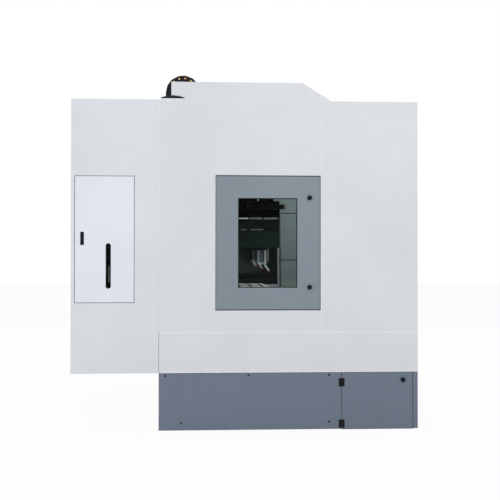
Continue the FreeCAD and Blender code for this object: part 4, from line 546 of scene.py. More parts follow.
def add_door_gap_shadows():
    """Dark rubber and blue-black strips in the gap round each door of the left side but at its hinges,
    wider than the gaps: painted shadow of the door gaps. A dark border on the glazed door carries that
    painted shadow onto its face."""
    gap, shadow_strip, shadow_depth, shadow_border, hinge_gap = 0.0038, 0.0034, 0.012, 0.0032, 0.006
    side_door = door_leaf("side_door", SIDE_DOOR_LENGTH)
    tank_door = door_leaf("tank_door", TANK_DOOR_LENGTH)
    for name, look, leaves, depth, hinge_side in (
            ("door_gap_painted_shadow", "rubber", (side_door, tank_door), 0.004, "rear"),
            ("cabinet_gap_painted_shadow", "edging_blue_black", (CABINET_DOOR,), 0.002, "front")):
        with piece(name, look) as mesh:
            for low, high in leaves:
                add_frame(mesh, (low.y - gap, low.z - gap), (high.y + gap, high.z + gap), shadow_strip,
                          "x", LEFT + depth, LEFT + shadow_depth, hinge_side)
    low, high = side_door
    with piece("door_border_shadow", "edging_blue_black", "access_door") as mesh:
        add_frame(mesh, (low.y + 0.0002, low.z + 0.0002), (high.y - hinge_gap, high.z - 0.0002),
                  shadow_border, "x", LEFT - 0.0006, LEFT - HAIR, "rear")


def add_side_screws():
    """The black socket screws that hold the base panels, where the photograph shows them."""
    top_row, low_row, radius = BASE - 0.018, 0.06, 0.005
    with piece("base_screws", "black_plastic") as mesh:
        for side in (LEFT, RIGHT):
            for y, z in ((BACK - 0.049, top_row), (-0.019, top_row), (-0.625, top_row),
                         (BACK - 0.168, low_row), (-0.625, low_row)):
                add_screw(mesh, (side, y, z), OUTWARD[side], radius)
        for x, z in product((-0.9, -0.3, 0.3, 0.9), (top_row, low_row)):
            add_screw(mesh, (x, FRONT, z), -Y, radius)


def add_cover_screws():
    """Small screws along the roof sheets and the cabinet's rear and right sheets."""
    radius, edge, margin, across, upright = 0.005, 0.05, 0.08, 7, 5
    with piece("cover_screws", "feet_steel") as mesh:
        for x in spaced(LEFT + margin, (RIGHT - LEFT - 2 * margin) / (across - 1), across):
            for y in (FRONT + 0.03, REAR - 0.03):
                add_screw(mesh, (x, y, ROOF), Z, radius)
            for z in (BASE + edge, ROOF - edge):
                add_screw(mesh, (x, REAR, z), Y, radius)
        for z in spaced(BASE + 0.35, (ROOF - BASE - 0.5) / upright, upright):
            for x in (LEFT + edge, RIGHT - edge):
                add_screw(mesh, (x, REAR, z), Y, radius)
            for y in (BACK + edge, REAR - edge):
                add_screw(mesh, (RIGHT, y, z), X, radius)


def add_vents():
    """Pressed louvres in the rear cabinet's back and in its right side, over thin black sheets that
    paint the shade inside their slots.
    """
    height, depth, pitch, rows, length = 0.012, 0.006, 0.024, 9, 0.28
    rear_fields, side_field, margin, off, thin = (-0.62, 0.34), 0.84, 0.008, 0.0006, 0.0005

    def outline(face, z):
        return [(face, z), (face + depth, z), (face + depth * 0.7, z + height * 0.5),
                (face, z + height)]

    with (piece("cabinet_vent_shade", "joint_dark") as slots,
          piece("cabinet_louvres", "cabinet_white", chamfer=0.0008) as slats):
        for bottom in (0.62, 2.1):
            top = bottom + rows * pitch - height
            for z in spaced(bottom, pitch, rows):
                for x in rear_fields:
                    add_plate(slats, outline(REAR + off, z), "x", x, x + length)
                add_plate(slats, outline(RIGHT + off, z), "y", side_field, side_field + length)
            for x in rear_fields:
                add_block(slots, (x + margin, REAR, bottom),
                          (x + length - margin, REAR + thin, top))
            add_block(slots, (RIGHT, side_field + margin, bottom),
                      (RIGHT + thin, side_field + length - margin, top))


def add_rear_covers():
    """The bolted cover sheets on the back of the cabinet, with a screw at every 0.3 m."""
    low, high, thick, rows = BASE + 0.12, ROOF - 0.09, 0.0022, 7
    inset, edge_inset, radius = 0.02, 0.018, 0.0045
    with (piece("rear_cover_screws", "feet_steel") as screws,
          piece("rear_covers", "cabinet_white", chamfer=0.0008) as mesh):
        for left, right in ((LEFT + 0.09, -0.7), (-0.28, 0.27), (0.7, RIGHT - 0.09)):
            add_block(mesh, (left, REAR + HAIR, low), (right, REAR + thick, high))
            for x, z in product((left + edge_inset, right - edge_inset),
                                spaced(low + inset, (high - low - 2 * inset) / (rows - 1), rows)):
                add_screw(screws, (x, REAR + thick, z), Y, radius)


def add_main_switch():
    """The machine's rotary isolator on the back of the cabinet, red on a yellow plate."""
    x, z, half, thick = 0.485, 1.55, 0.045, 0.003
    with piece("isolator_plate", "hold_yellow", chamfer=0.001) as mesh:
        add_block(mesh, (x - half, REAR, z - half), (x + half, REAR + thick, z + half))
    with piece("isolator_knob", "stop_red", chamfer=0.0015) as mesh:
        add_turned(mesh, (x, REAR + thick, z), Y,
                   [(0.03, 0), (0.03, 0.006), (0.027, 0.009), (0.012, 0.009)])
        add_block(mesh, (x - 0.007, REAR + 0.011, z - 0.028), (x + 0.007, REAR + 0.024, z + 0.028))


def add_feet_nuts():
    """Lock nuts and washers on the jack screws of the levelling feet."""
    low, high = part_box("levelling_feet")
    inset, washer_foot = 0.06, 0.018
    with piece("feet_nuts", "screw_steel") as mesh:
        for x, y in product((low.x + inset, high.x - inset),
                            (low.y + inset, (low.y + high.y) / 2, high.y - inset)):
            add_turned(mesh, (x, y, washer_foot), Z, [
                (0.036, 0), (0.036, 0.004), (0.031, 0.0045, 6), (0.031, 0.018, 6),
                (0.027, 0.02, 6)])


# --- outside: doors and latches

PANE_FRONT, PANE_REAR = -0.417, 0.06
OUTER_GLASS = RIGHT - 0.003
PANE = OUTER_GLASS - 0.006


def add_latch_faces():
    """A raised grip and a turned rim on every quarter-turn knob."""
    radius = 0.017
    for body, node in (("upper_latch", "side_door_lock_upper"),
                       ("lower_latch", "side_door_lock_lower"),
                       ("service_latch", "tank_door_knob")):
        low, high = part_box(node)
        y = (low.y + high.y) / 2
        z = low.z + radius if body == "lower_latch" else high.z - radius
        with piece(f"{body}_grip", "black_plastic", body, 0.0007) as mesh:
            add_turned(mesh, (low.x, y, z), -X, [
                (radius * 0.8, -0.0002), (radius * 0.8, 0.0012), (radius * 0.66, 0.0018),
                (radius * 0.62, 0.0004), (0.002, 0.0004)], 32)
            add_block(mesh, (low.x - 0.0042, y - 0.0032, z - radius * 0.56),
                      (low.x - 0.0003, y + 0.0032, z + radius * 0.56))


def add_window_seals():
    """Rubber round the panes of the side door, the right side and the front door."""
    low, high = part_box("side_door_window")
    with piece("side_window_seal", "rubber", "access_door", 0.0012) as mesh:
        add_frame(mesh, (low.y, low.z), (high.y, high.z), 0.006, "x", high.x, high.x + 0.004)
    with piece("right_window_seal", "rubber", chamfer=0.0008) as mesh:
        add_frame(mesh, (PANE_FRONT, 1.025), (PANE_REAR, 1.74), 0.008, "x", RIGHT - 0.0029,
                  RIGHT - 0.0003)
    low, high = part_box("front_door_window")
    with piece("front_window_seal", "rubber", "sliding_door", 0.0012) as mesh:
        add_frame(mesh, (low.x, low.z), (high.x, high.z), 0.007, "y", low.y - 0.0022, low.y)


def add_hinge_leaves():
    """The other halves of the base door's hinge leaves, and the screws in them."""
    face = LEFT - 0.0025
    hinge_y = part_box("tank_door")[1].y - 0.007
    for body, side in (("root", 1), ("service_door", -1)):
        with piece(f"hinge_leaf_{body}", "black_plastic", body) as mesh:
            for middle in (0.044, 0.354):
                add_block(mesh, (face, hinge_y + side * 0.0085, middle + side * 0.0004),
                          (LEFT - HAIR, hinge_y + side * 0.022, middle + side * 0.03))
                for step in (0.008, 0.022, -0.008, -0.022):
                    add_turned(mesh, (face, hinge_y + side * 0.013, middle + step), -X,
                               [(0.0034, -0.0002), (0.0034, 0.0004), (0.0018, 0.0006, 6),
                                (0.0016, 0.0001, 6)])


def add_lock_details():
    """The flush lock's key cylinder and keyway."""
    low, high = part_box("cabinet_side_lock")
    y, z = (low.y + high.y) / 2, low.z + 0.026
    with piece("lock_cylinder", "lock_black", "lock_flap") as mesh:
        add_turned(mesh, (low.x, y, z), -X,
                   [(0.0085, -0.0002), (0.0085, 0.0012), (0.007, 0.002), (0.004, 0.0014),
                    (0.0012, 0.001)])
        add_block(mesh, (low.x - 0.0022, y - 0.0006, z - 0.004),
                  (low.x - 0.0008, y + 0.0006, z + 0.004))


# --- cable chain

CHAIN_RADIUS = 0.108
CHAIN_PITCH = 0.046
CHAIN_RISE = 0.046
CHAIN_HEIGHT = 0.045
CHAIN_WIDTH = 0.052
CHAIN_CENTRE = Vector((LEFT + 0.095, BACK - 0.067 - CHAIN_RADIUS,
                       ROOF + CHAIN_HEIGHT / 2 + 0.0005 + CHAIN_RISE))


def on_arc(turn):
    """A point of the chain's arc, at an angle up from its rear end."""
    return CHAIN_CENTRE + CHAIN_RADIUS * Vector((0, math.cos(turn), math.sin(turn)))


def chain_points():
    """The pin places, from the foot on the roof, over the arc and down into the hood."""
    step = 2 * math.asin(CHAIN_PITCH / 2 / CHAIN_RADIUS)
    points = [on_arc(0) - Vector((0, 0, CHAIN_RISE))]
    points += [on_arc(index * step) for index in range(int(math.pi / step) + 1)]
    points.append(points[-1] - Vector((0, 0, CHAIN_PITCH)))
    return points


def add_chain_pins():
    """A rivet with a washer at every joint of the chain: black ones, and brass ones on the arc's
    crown, a painted highlight where light falls on the top of the arc.
    """
    crown = CHAIN_CENTRE.z + CHAIN_RADIUS * 0.6
    with (piece("chain_rivets_black", "rubber") as black,
          piece("chain_rivets_highlight_brass", "brass") as brass):
        for point in chain_points():
            for direction in (-X, X):
                add_turned(brass if point.z > crown else black,
                           point + direction * CHAIN_WIDTH / 2, direction,
                           [(0.007, -0.0003), (0.007, 0.001), (0.0052, 0.0016),
                            (0.0044, 0.0034), (0.0026, 0.0042), (0.0008, 0.0044)], 20)


def add_chain_hoses():
    """Two hoses and a cable that run inside the chain from the roof into the hood."""
    pins = chain_points()
    steps = 24
    arc = [on_arc(math.pi * index / steps) for index in range(2, steps)]
    route = [pins[0].lerp(pins[1], 0.32), *arc, pins[-2].lerp(pins[-1], 0.5)]
    for name, across, radius, look in (("chain_hose_black", -0.0105, 0.0065, "rubber"),
                                       ("chain_hose_blue", 0.0035, 0.0055, "hose_blue"),
                                       ("chain_cable_grey", 0.0132, 0.0035, "cable_grey")):
        with piece(name, look) as mesh:
            add_tube(mesh, [point + X * across for point in route], radius)


def add_collar_lip():
    """The dark rubber lip over the panel's upper edge at the chain's foot, and under it a bulge of the
    sheet in a white brighter than the panels, a painted highlight."""
    length, middle, line, thin, proud, steps = 0.178, BACK - 0.1005, ROOF + 0.011, 0.0015, 0.005, 20
    for name, look, rise, lip, swell in (("collar_lip", "rubber", 0.02, proud, 0.0),
                                         ("collar_bulge_highlight", "gasket_white", -0.024, 0.0, proud)):
        rings = []
        for share in [index / steps for index in range(steps + 1)]:
            y = middle + length * (share - 0.5)
            lens = math.sin(math.pi * min(max(share, 0.03), 0.97)) ** 0.6
            lower, upper = sorted((line, line + rise * lens))
            face = LEFT - thin - lip * lens
            rings.append([(LEFT - HAIR, y, lower), (face, y, lower),
                          (face - swell * lens, y, (lower + upper) / 2), (face, y, upper),
                          (LEFT - HAIR, y, upper)])
        with piece(name, look) as mesh:
            add_rings(mesh, rings)


# --- inside: chamber and head

COVER_LOW, COVER_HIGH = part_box("head_cover")
REVEAL_FRONT = PANE_FRONT - 0.042


def add_head_trims():
    """Ledges, plates and strips on the left flank of the head's cover. The plates' tones paint light
    and shade on the ribbed cover: near black at the top, dark olive under the upper ledge and a
    lighter green at the foot.
    """
    face, front, rear = COVER_LOW.x, COVER_LOW.y + 0.004, COVER_HIGH.y - 0.01
    upper_ledge, lower_ledge, strip_depth = 1.637, 1.538, 0.006
    for name, look, low, high, proud in (
            ("head_upper_plate", "head_black", upper_ledge + 0.01, COVER_HIGH.z - 0.006, 0.002),
            ("head_middle_plate", "head_olive", lower_ledge + 0.012, upper_ledge - 0.01, 0.002),
            ("head_lower_plate", "head_green", COVER_LOW.z + 0.002, lower_ledge - 0.012, 0.003)):
        with piece(name, look, "head", 0.001) as mesh:
            add_block(mesh, (face - proud, front, low), (face - HAIR, rear, high))
    # the beige strips paint the highlights along the cover's ledges, dimmer on the farther segments
    # and on the lower ledge; the first segment is bright steel
    for name, look, z, half, spans in (
            ("head_strip_bright", "bright_steel", upper_ledge, 0.0085, ((-0.059, 0.18),)),
            ("head_strip_highlight_dim", "dull_steel", upper_ledge, 0.008,
             ((-0.185, -0.072), (-0.328, -0.198))),
            ("head_lower_strip_highlight", "worn_steel", lower_ledge, 0.0055,
             ((-0.046, 0.004), (-0.125, -0.082), (-0.194, -0.13)))):
        section = [(face - HAIR, z - half), (face - strip_depth, z - half * 0.6),
                   (face - strip_depth, z + half * 0.5), (face - HAIR, z + half)]
        with piece(name, look, "head", 0.0008) as mesh:
            for y_low, y_high in spans:
                add_plate(mesh, section, "y", y_low, y_high)
    with piece("head_screws", "motor_black", "head") as mesh:
        for y, z in product(spaced(-0.3, 0.09, 6),
                            (COVER_LOW.z + 0.02, upper_ledge + 0.028, COVER_HIGH.z - 0.02)):
            add_screw(mesh, (face - 0.002, y, z), -X, 0.003)


def add_gearbox_bolts():
    """Bright bolts and a plate on the change arm's gearbox."""
    face, radius = -0.35, 0.006
    with piece("gearbox_bolts", "bright_steel", chamfer=0.0006) as mesh:
        for y, z in ((-0.03, 1.79), (-0.136, 1.786), (-0.012, 1.86),
                     (-0.17, 1.86), (-0.012, 2.0), (-0.17, 2.0)):
            add_screw(mesh, (face, y, z), -X, radius)
        add_block(mesh, (face - 0.003, -0.046, 1.797), (face - HAIR, -0.008, 1.803))


def add_chamber_seams():
    """Dark joint strips behind the seams of the far wall and the edge of its opening, and a sill in a
    lighter copy of the chamber paint, painted light.
    """
    wall, front, joints, opening = RIGHT - 0.05, FRONT + 0.322, (1.266, 1.76), (0.79, 1.395)
    near, far, deep = wall - 0.0009, wall + 0.0004, wall + 0.0028
    rear, sill_rear = REVEAL_FRONT + 0.0009, REVEAL_FRONT - 0.004
    with piece("chamber_seams", "joint_dark", slot="chamber_paint") as mesh:
        for z in joints:
            top = z + 0.0019
            add_block(mesh, (wall + 0.0005, front, z - 0.0085), (deep, REVEAL_FRONT, top))
            add_block(mesh, (near, front, z - 0.006), (far, REVEAL_FRONT, top))
        add_block(mesh, (near, REVEAL_FRONT - 0.003, opening[0]), (far, rear, opening[1]))
    with piece("chamber_sill", "sill_green", chamfer=0.0008) as mesh:
        add_block(mesh, (wall - 0.002, front, 0.8), (wall - HAIR, sill_rear, 1.044))


def add_pane_rails():
    """The dark rubber rails and the sill across the right-hand window; the sill's dark green, in place
    of the chamber paint, is painted shade.
    """
    front = PANE_FRONT - 0.006
    with piece("right_window_rail", "rubber", chamfer=0.002) as mesh:
        add_block(mesh, (PANE - 0.012, front, 1.072), (PANE - HAIR, PANE_REAR, 1.124))
        add_block(mesh, (PANE - 0.006, front, 1.7), (PANE - HAIR, PANE_REAR, 1.735))
    with piece("right_window_sill", "head_green", chamfer=0.002, slot="chamber_paint") as mesh:
        add_block(mesh, (PANE - 0.01, front + 0.002, 1.026), (PANE - HAIR, PANE_REAR, 1.07))


def add_cover_wipers():
    """Black wiper lips along the outer edges of the telescopic covers."""
    reach, plate_gap, inset = 0.003, 0.0023, 0.006
    for node, body in (("table_covers", "work_table"), ("x_cover_inner", "inner_cover"),
                       ("x_cover_outer", "outer_cover")):
        low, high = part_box(node)
        with piece(f"wiper_{node}", "rubber", body) as mesh:
            for x in (low.x - reach, high.x):
                add_block(mesh, (x, low.y + inset, high.z - plate_gap),
                          (x + reach, high.y - inset, high.z - 0.0002))


def plug_places(start, end):
    """Places from start to end, a bolt pitch apart."""
    pitch = 0.06
    return spaced(start, pitch, int((end - start) / pitch) + 1)


def add_rail_plugs():
    """Brass-coloured plugs in the bolt holes along the tops of the guide rails."""
    radius, end, half_rail, y_rail_top, y_rail_rear = 0.0065, 0.03, 0.0225, 0.638, 0.305
    y_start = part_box("guide_rails")[0].y + end
    low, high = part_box("x_guide_rails")
    y_rails = product((-0.28, 0.28), plug_places(y_start, y_rail_rear), (y_rail_top,))
    x_rails = product(plug_places(low.x + end, high.x - end),
                      (low.y + half_rail, high.y - half_rail), (high.z,))
    for name, body, places in (("y_rail_plugs", "root", y_rails),
                               ("x_rail_plugs", "cross_slide", x_rails)):
        with piece(name, "brass", body) as mesh:
            for place in places:
                add_turned(mesh, place, Z,
                           [(radius, -0.001), (radius, 0.00015), (radius * 0.5, 0.0003)], 16)


def add_column_bolts():
    """Hexagon bolts along the column's foot."""
    flange_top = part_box("column_casting")[0].z + 0.08
    with piece("column_bolts", "feet_steel") as mesh:
        for place in product((-0.335, 0.335), (0.42, 0.5, 0.58), (flange_top,)):
            add_turned(mesh, place, Z, [(0.019, 0), (0.019, 0.003), (0.0155, 0.0032, 6),
                                        (0.0155, 0.014, 6), (0.013, 0.0155, 6)])


def add_ball_screws():
    """The ball screws with their helical grooves, in place of the plain shafts."""
    pitch, groove, groove_half, per_turn, per_pitch = 0.01, 0.0016, 0.32, 20, 6
    radius, neck, journal = 0.016, 0.011, 0.04
    for axis, along in zip("xyz", (X, Y, Z)):
        low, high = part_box(f"{axis}_ball_screw")
        length = (high - low).dot(along)
        turn = along.to_track_quat("Z", "Y")
        start = (low + high) / 2 - along * length / 2
        count = int((length - 2 * journal) / pitch * per_pitch)
        row = [(neck, 0.0, 0.0), (neck, journal, 0.0)]
        row += [(radius, place, groove) for place in spaced(journal, pitch / per_pitch, count + 1)]
        row += [(neck, length - journal, 0.0), (neck, length, 0.0)]
        rings = []
        for outer, place, depth in row:
            ring = []
            for index, angle in enumerate(around(per_turn)):
                phase = (place / pitch - index / per_turn) % 1
                cut = depth * math.sqrt(max(0.0, 1 - (abs(phase - 0.5) / groove_half) ** 2))
                ring.append(start + turn @ polar(outer - cut, angle, place))
            rings.append(ring)
        with piece(f"{axis}_screw_thread", "screw_steel", f"{axis}_screw",
                   stands_for=f"{axis}_ball_screw") as mesh:
            add_rings(mesh, rings)


# --- front: console and door

CONSOLE_FACE = FRONT + 0.042
BUTTON_ROW = 1.05
DIAL_X, WHEEL_X = 0.88, 0.615


def add_console_screen():
    """A bezel round the screen, and the plain coloured fields that it shows."""
    left, right, low, high, bezel = 0.6, 1.0, 1.42, 1.7, 0.016
    with piece("screen_bezel", "black_plastic", chamfer=0.0015) as mesh:
        add_frame(mesh, (left - bezel, low - bezel), (right + bezel, high + bezel), bezel + 0.0005,
                  "y", CONSOLE_FACE - 0.006, CONSOLE_FACE - HAIR)
    glass_face = CONSOLE_FACE + 0.0019
    field_face, line_face = glass_face - 0.0007, glass_face - 0.001
    for name, look, boxes in (
            ("screen_field_blue", "screen_blue",
             ((0.608, 1.668, 0.992, 1.692), (0.608, 1.428, 0.992, 1.446))),
            ("screen_field_dark", "screen_dark",
             ((0.608, 1.454, 0.812, 1.66), (0.82, 1.56, 0.992, 1.66),
              (0.82, 1.454, 0.992, 1.552)))):
        with piece(name, look) as mesh:
            for x_low, z_low, x_high, z_high in boxes:
                add_block(mesh, (x_low, field_face, z_low), (x_high, glass_face, z_high))
    with piece("screen_lines", "screen_green") as mesh:
        for row, z in enumerate(spaced(1.644, -0.023, 8)):
            width = 0.06 + 0.11 * ((row * 5) % 7) / 7
            add_block(mesh, (0.618, line_face, z - 0.003), (0.618 + width, field_face, z + 0.003))
        for column, x in enumerate(spaced(0.832, 0.026, 6)):
            tall = 0.02 + 0.05 * ((column * 3) % 5) / 5
            add_block(mesh, (x, line_face, 1.464), (x + 0.016, field_face, 1.464 + tall))


def add_console_keys():
    """Rows of small keys under the screen and a column of soft keys beside it."""
    width, height, proud, rows, columns, empty = 0.02, 0.016, 0.0032, 6, 13, 6
    keys = [(0.604 + column * 0.0305, 1.372 - row * 0.03)
            for row, column in product(range(rows), range(columns))
            if column != empty or row == rows - 1]
    keys += [(1.026, z) for z in spaced(1.69, -0.034, 8)]
    with piece("console_keys", "key_grey", chamfer=0.0014) as mesh:
        for x, z in keys:
            add_block(mesh, (x, CONSOLE_FACE - proud, z - height),
                      (x + width, CONSOLE_FACE - HAIR, z))
    with piece("console_wide_keys", "key_light", chamfer=0.0016) as mesh:
        for x in spaced(0.604, 0.04, 10):
            add_block(mesh, (x, CONSOLE_FACE - 0.004, 1.124), (x + 0.026, CONSOLE_FACE - HAIR, 1.146))


def add_dial_marks():
    """Rings, ticks and collars round the controls of the console's lower row."""
    with piece("dial_ticks", "key_light") as mesh:
        for x, radius, steps, first, sweep in ((DIAL_X, 0.028, 15, 225, 270),
                                               (WHEEL_X, 0.0455, 50, 270, 360)):
            for index in range(steps if sweep == 360 else steps + 1):
                angle = math.radians(first - sweep * index / steps)
                length = 0.006 if index % 5 == 0 else 0.0035
                near = Vector((math.cos(angle), 0, math.sin(angle)))
                side = Vector((-near.z, 0, near.x)) * 0.0005
                start = Vector((x, CONSOLE_FACE, BUTTON_ROW)) + near * radius
                end = start + near * length
                outline = [(point.x, point.z)
                           for point in (start - side, end - side, end + side, start + side)]
                add_plate(mesh, outline, "y", CONSOLE_FACE - 0.0005, CONSOLE_FACE - HAIR)
    radius = 0.0165
    with piece("button_rings", "bright_steel") as mesh:
        for x in (0.715, 0.785):
            add_turned(mesh, (x, CONSOLE_FACE, BUTTON_ROW), -Y,
                       [(radius + 0.003, 0.0001), (radius + 0.003, 0.002), (radius, 0.0042),
                        (radius - 0.001, 0.0042), (radius - 0.001, 0.0001)], 32, True)
    with piece("stop_collar", "hold_yellow") as mesh:
        add_turned(mesh, (1.0, CONSOLE_FACE, BUTTON_ROW), -Y,
                   [(0.031, 0.0001), (0.031, 0.002), (0.028, 0.004), (0.023, 0.0042),
                    (0.023, 0.0001)], 36, True)
    knob_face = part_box("feed_override_knob")[0].y
    with piece("override_pointer", "key_light", "override_dial") as mesh:
        add_block(mesh, (DIAL_X - 0.0015, knob_face - 0.0008, BUTTON_ROW + 0.003),
                  (DIAL_X + 0.0015, knob_face - 0.00005, BUTTON_ROW + 0.017))
    count, reach, rib_start = 40, 0.0395, CONSOLE_FACE - 0.0135
    with piece("handwheel_knurls", "black_plastic", "handwheel") as mesh:
        for angle in around(count):
            add_turned(mesh, (WHEEL_X + reach * math.cos(angle), rib_start,
                              BUTTON_ROW + reach * math.sin(angle)), Y,
                       [(0.0008, 0), (0.0013, 0.0012), (0.0013, 0.0108), (0.0008, 0.012)], 8)


def add_front_door_details():
    """Collars on the sliding door's handle, and the pads under its posts."""
    x, y, half, pad_face = 0.392, FRONT + 0.01, 0.0115, FRONT + 0.0335
    with piece("handle_fittings", "rubber", "sliding_door", 0.001) as mesh:
        for z, side in ((1.23, -1), (1.53, 1)):
            add_turned(mesh, (x, y, z - 0.0005 * side), Z * side,
                       [(0.0095, 0), (0.0095, 0.004), (0.0075, 0.0065), (0.002, 0.0072)])
        for z in (1.26, 1.5):
            add_block(mesh, (x - half, pad_face, z - half), (x + half, pad_face + 0.0044, z + half))


def add_door_sill():
    """The folded strip that closes the slot between the door's track and the chamber."""
    track_rear, chute_front, chute_top = FRONT + 0.071, FRONT + 0.09, 0.78
    thick, foot, gap = 0.002, 0.7252, 0.0002
    front, rear, top = track_rear + gap, chute_front - HAIR, chute_top - gap
    fold = chute_top - thick
    section = [(front, foot), (front + thick, foot), (front + thick, fold), (rear, fold),
               (rear, top), (front, top)]
    with piece("door_sill_strip", "chamber_paint") as mesh:
        add_plate(mesh, section, "x", -1.0598, 0.4998)


def add_spindle_motor_ribs():
    """Cooling ribs down both flanks of the spindle motor."""
    low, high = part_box("spindle_motor")
    depth, width, pitch, inset = 0.006, 0.008, 0.022, 0.015
    with piece("spindle_motor_ribs", "motor_black", "head", 0.001) as mesh:
        for z, x in product(spaced(low.z + 0.06, pitch, 9), (low.x - depth, high.x)):
            add_block(mesh, (x, low.y + inset, z), (x + depth, high.y - inset, z + width))


# --- inside the cabinet and tank

MOUNTING_PLATE = REAR - 0.063


def add_wiring_ducts():
    """Slotted wiring ducts across the mounting plate."""
    rear, front = MOUNTING_PLATE, MOUNTING_PLATE - 0.06
    left, right, pitch, tooth = -0.95, 0.95, 0.0198, 0.011
    with piece("wiring_ducts", "duct_grey", chamfer=0.0006) as mesh:
        for z in (1.64, 1.195, 0.665):
            add_block(mesh, (left, front, z - 0.028), (right, rear - HAIR, z - 0.025))
            add_block(mesh, (left, front, z + 0.025), (right, rear - 0.057, z + 0.028))
            for x in spaced(left, pitch, 96):
                add_block(mesh, (x, rear - 0.062, z - 0.025), (x + tooth, rear - 0.058, z + 0.025))


def add_breakers():
    """A row of breakers and terminals with their levers."""
    front = MOUNTING_PLATE - 0.09
    with (piece("breaker_levers", "screen_blue", chamfer=0.001, slot="black_plastic") as levers,
          piece("breaker_row", "breaker_grey", chamfer=0.001) as mesh):
        for start, count in ((-0.78, 14), (-0.19, 28)):
            for x in spaced(start, 0.036, count):
                add_block(mesh, (x, front - 0.012, 1.3), (x + 0.033, front - HAIR, 1.45))
                add_block(mesh, (x + 0.002, front - 0.024, 1.335), (x + 0.031, front - 0.012, 1.415))
                add_block(levers, (x + 0.01, front - 0.034, 1.368),
                          (x + 0.023, front - 0.0241, 1.388))


def add_drive_fins():
    """Heat sinks at the top and the foot of every drive."""
    margin, pitch, depth, thick = 0.02, 0.018, 0.004, 0.008
    with piece("drive_fins", "duct_grey", chamfer=0.0008) as mesh:
        for left, width, reach in ((-0.89, 0.38, 0.18), (-0.45, 0.26, 0.2), (-0.15, 0.26, 0.2),
                                   (0.15, 0.26, 0.2), (0.47, 0.36, 0.16)):
            face = MOUNTING_PLATE - reach
            fins = spaced(left + margin, pitch, int((width - 2 * margin) / pitch))
            for x, (low, high) in product(fins, ((1.98, 2.1), (1.72, 1.8))):
                add_block(mesh, (x, face - depth, low), (x + thick, face - HAIR, high))


def add_level_strip():
    """The thin scale behind the tube in the oil sight slot."""
    low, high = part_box("oil_sight_window")
    middle = (low.y + high.y) / 2
    front, rear = LEFT + 0.0345, LEFT + 0.0369
    with piece("level_scale", "cable_grey", slot="equipment") as mesh:
        add_block(mesh, (front, middle - 0.0016, 1.107), (rear, middle + 0.0016, 1.227))
        for z in spaced(1.112, 0.022, 6):
            add_block(mesh, (front, middle - 0.004, z - 0.001), (rear, middle - 0.0012, z + 0.001))


def add_tank_details():
    """The grating over the open end of the coolant tank."""
    rim, lid, gap, pitch, bar, inset = 0.3301, 0.3241, 0.0006, 0.016, 0.006, 0.013
    low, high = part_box("coolant_tank")
    left, right, front, rear = -0.8, high.x - gap, low.y + gap, -0.99
    with piece("tank_strainer", "feet_steel", chamfer=0.0006) as mesh:
        add_frame(mesh, (left, front), (right, rear), 0.014, "z", rim, rim + 0.006)
        add_block(mesh, (left, rear - 0.008, lid), (right, rear, rim))
        for x in spaced(left + pitch, pitch, int((right - left - 0.03) / pitch)):
            add_block(mesh, (x, front + inset, rim + 0.001), (x + bar, rear - inset, rim + 0.004))


# --- looks of single faces


def repaint_faces():
    """Looks that differ from face to face on one node."""
    for name in ("base_skirt_panels", "tank_door"):
        repaint(name, "black_plastic", high=(LEFT - HAIR, FAR, FAR))
    sight_low, sight_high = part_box("oil_sight_window")
    # black paint inside and behind the oil sight slot: painted shade of the unlit cabinet seen through
    # it
    repaint("cabinet_equipment", "sight_black", (LEFT + 0.055, sight_low.y - 0.06, BASE),
            (LEFT + 0.34, sight_high.y + 0.16, sight_high.z + 0.03))
    repaint("cabinet_equipment", "sight_black", (LEFT, sight_low.y, sight_low.z),
            (LEFT + 0.0545, sight_high.y, sight_high.z))
    table_low, table_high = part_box("table")
    slot_foot, slot_top = table_high.z - 0.031, table_high.z - 0.0005
    # near-black paint on the T-slots' walls and floors: painted shade in the slots
    repaint("table", "slot_dark", (-FAR, -FAR, slot_foot), (FAR, FAR, slot_top))
    # cream non-metal paint on the ground steel top: painted sheen of its reflections
    repaint("table", "table_top", (-FAR, -FAR, slot_top + HAIR))
    for face in (-X, X, -Y, Y):
        repaint("table", "machined", (-FAR, -FAR, table_low.z), (FAR, FAR, slot_foot - 0.004), face)
    # opaque dark paint on the right window's glass, inside and out: painted shade of the dim view
    # through it
    repaint("right_side_panels", "dark_pane", (PANE - 0.001, PANE_FRONT - 0.02, 1.0),
            (RIGHT - 0.001, PANE_REAR + 0.02, 1.76), -X)
    repaint("right_side_panels", "dark_pane", (OUTER_GLASS - 0.0005, PANE_FRONT - 0.016, 1.009),
            (OUTER_GLASS + 0.0005, PANE_REAR + 0.016, 1.756), X)
    repaint("operator_panel", "screen_black", (0.599, CONSOLE_FACE + 0.001, 1.419),
            (1.001, CONSOLE_FACE + 0.0075, 1.701))


def repaint_nozzles():
    """Dark block, a black, a blue and a white pipe, white spouts and orange tips."""
    name, block_foot, elbow = "coolant_nozzles", COVER_LOW.z - 0.0215, 1.21
    repaint(name, "pipe_white", high=(FAR, FAR, block_foot))
    for look, y_low, y_high in (("rubber", -0.104, -0.06), ("pipe_blue", -0.162, -0.128),
                                ("pipe_white", -0.225, -0.18)):
        repaint(name, look, (-FAR, y_low, elbow), (FAR, y_high, block_foot))
    repaint(name, "head_paint", (-FAR, -FAR, block_foot))
    tip_length, near, lean = 0.0195, 0.03, math.radians(35)
    along = Vector((0, math.sin(lean), math.cos(lean)))
    for y, z in ((-0.137, 1.209), (-0.195, 1.183), (-0.256, 1.16)):
        for face in frame["nodes"][name].data.polygons:
            reach = face.center - Vector((-0.118, y, z))
            if reach.length < near and reach.dot(along) < tip_length:
                face.material_index = 0


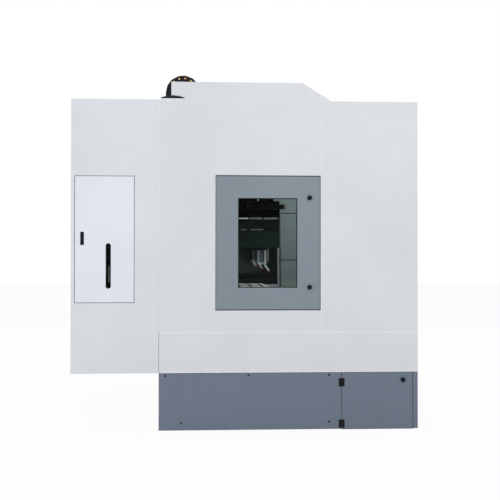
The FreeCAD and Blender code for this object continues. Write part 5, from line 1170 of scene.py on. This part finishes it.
repaint_faces()
repaint_nozzles()
for add_pieces in (
        add_seam_strips, add_door_gap_shadows, add_side_screws, add_cover_screws, add_vents,
        add_rear_covers, add_main_switch, add_feet_nuts, add_latch_faces, add_window_seals,
        add_hinge_leaves, add_lock_details, add_chain_pins, add_chain_hoses, add_collar_lip,
        add_head_trims, add_gearbox_bolts, add_level_strip, add_chamber_seams, add_pane_rails,
        add_cover_wipers, add_rail_plugs, add_column_bolts, add_ball_screws, add_console_screen,
        add_console_keys, add_dial_marks, add_front_door_details, add_door_sill,
        add_spindle_motor_ribs, add_wiring_ducts, add_breakers, add_drive_fins,
        add_tank_details):
    add_pieces()

# --- studio


def add_stage():
    """A pale floor that shows white to the camera and keeps the machine's shadow."""
    mesh = bpy.data.meshes.new("floor")
    reach = 30
    mesh.from_pydata([(-reach, -reach, 0), (reach, -reach, 0), (reach, reach, 0),
                      (-reach, reach, 0)], [], [(0, 1, 2, 3)])
    floor = bpy.data.objects.new("floor", mesh)
    scene.collection.objects.link(floor)
    shader = Shader("floor")
    shader.set("Base Color", shader.ramp(shader.noise(0.8, 3.0), 1.0, (0.3, 0.78), (0.7, 0.82)))
    shader.set("Roughness", 0.8)
    white = shader.add("ShaderNodeEmission", Color=(1, 1, 1, 1), Strength=1.0)
    share = shader.sums("MULTIPLY", shader.seen(), 0.95)
    shader.finish(share, shader.surface.outputs[0], white.outputs[0], shader.output)
    mesh.materials.append(shader.material)


def add_world():
    """A white backdrop for the camera, and a softer sky that lights the machine."""
    world = bpy.data.worlds.new("studio")
    scene.world = world
    world.use_nodes = True
    nodes = Nodes(world.node_tree)
    nodes.tree.nodes.clear()
    output = nodes.add("ShaderNodeOutputWorld")
    sky = nodes.add("ShaderNodeBackground", Color=(0.93, 0.96, 1.0, 1), Strength=0.5)
    backdrop = nodes.add("ShaderNodeBackground", Color=(1, 1, 1, 1), Strength=1.0)
    nodes.finish(nodes.seen(), sky.outputs[0], backdrop.outputs[0], output)


def add_lamp(name, place, target, size, power, colour=(1, 1, 1)):
    data = bpy.data.lights.new(name, "AREA")
    data.shape = "RECTANGLE"
    data.size, data.size_y = size
    data.energy = power
    data.color = colour
    lamp = bpy.data.objects.new(name, data)
    scene.collection.objects.link(lamp)
    lamp.location = place
    aim = Vector(target) - Vector(place)
    lamp.rotation_euler = aim.to_track_quat("-Z", "Y").to_euler()


add_stage()
add_world()
add_lamp("key", (-6.8, -2.2, 4.4), (-1.1, 0, 1.2), (4, 3), 118)
add_lamp("fill", (-6.0, 5.0, 2.5), (-1.1, 0, 1.2), (4, 3), 80, (0.88, 0.94, 1.0))
add_lamp("front", (2.0, -7.0, 4.0), (0, -1.3, 1.2), (4, 3), 110)
add_lamp("rear", (1.0, 7.5, 4.0), (0, 1.3, 1.2), (4, 3), 110)
add_lamp("right", (7.0, 1.0, 4.0), (1.1, 0, 1.2), (4, 3), 110)
add_lamp("chamber", (0.0, -0.7, 2.36), (0.0, -0.7, 0.8), (1.4, 0.25), 9)

scene.view_settings.view_transform = "Standard"
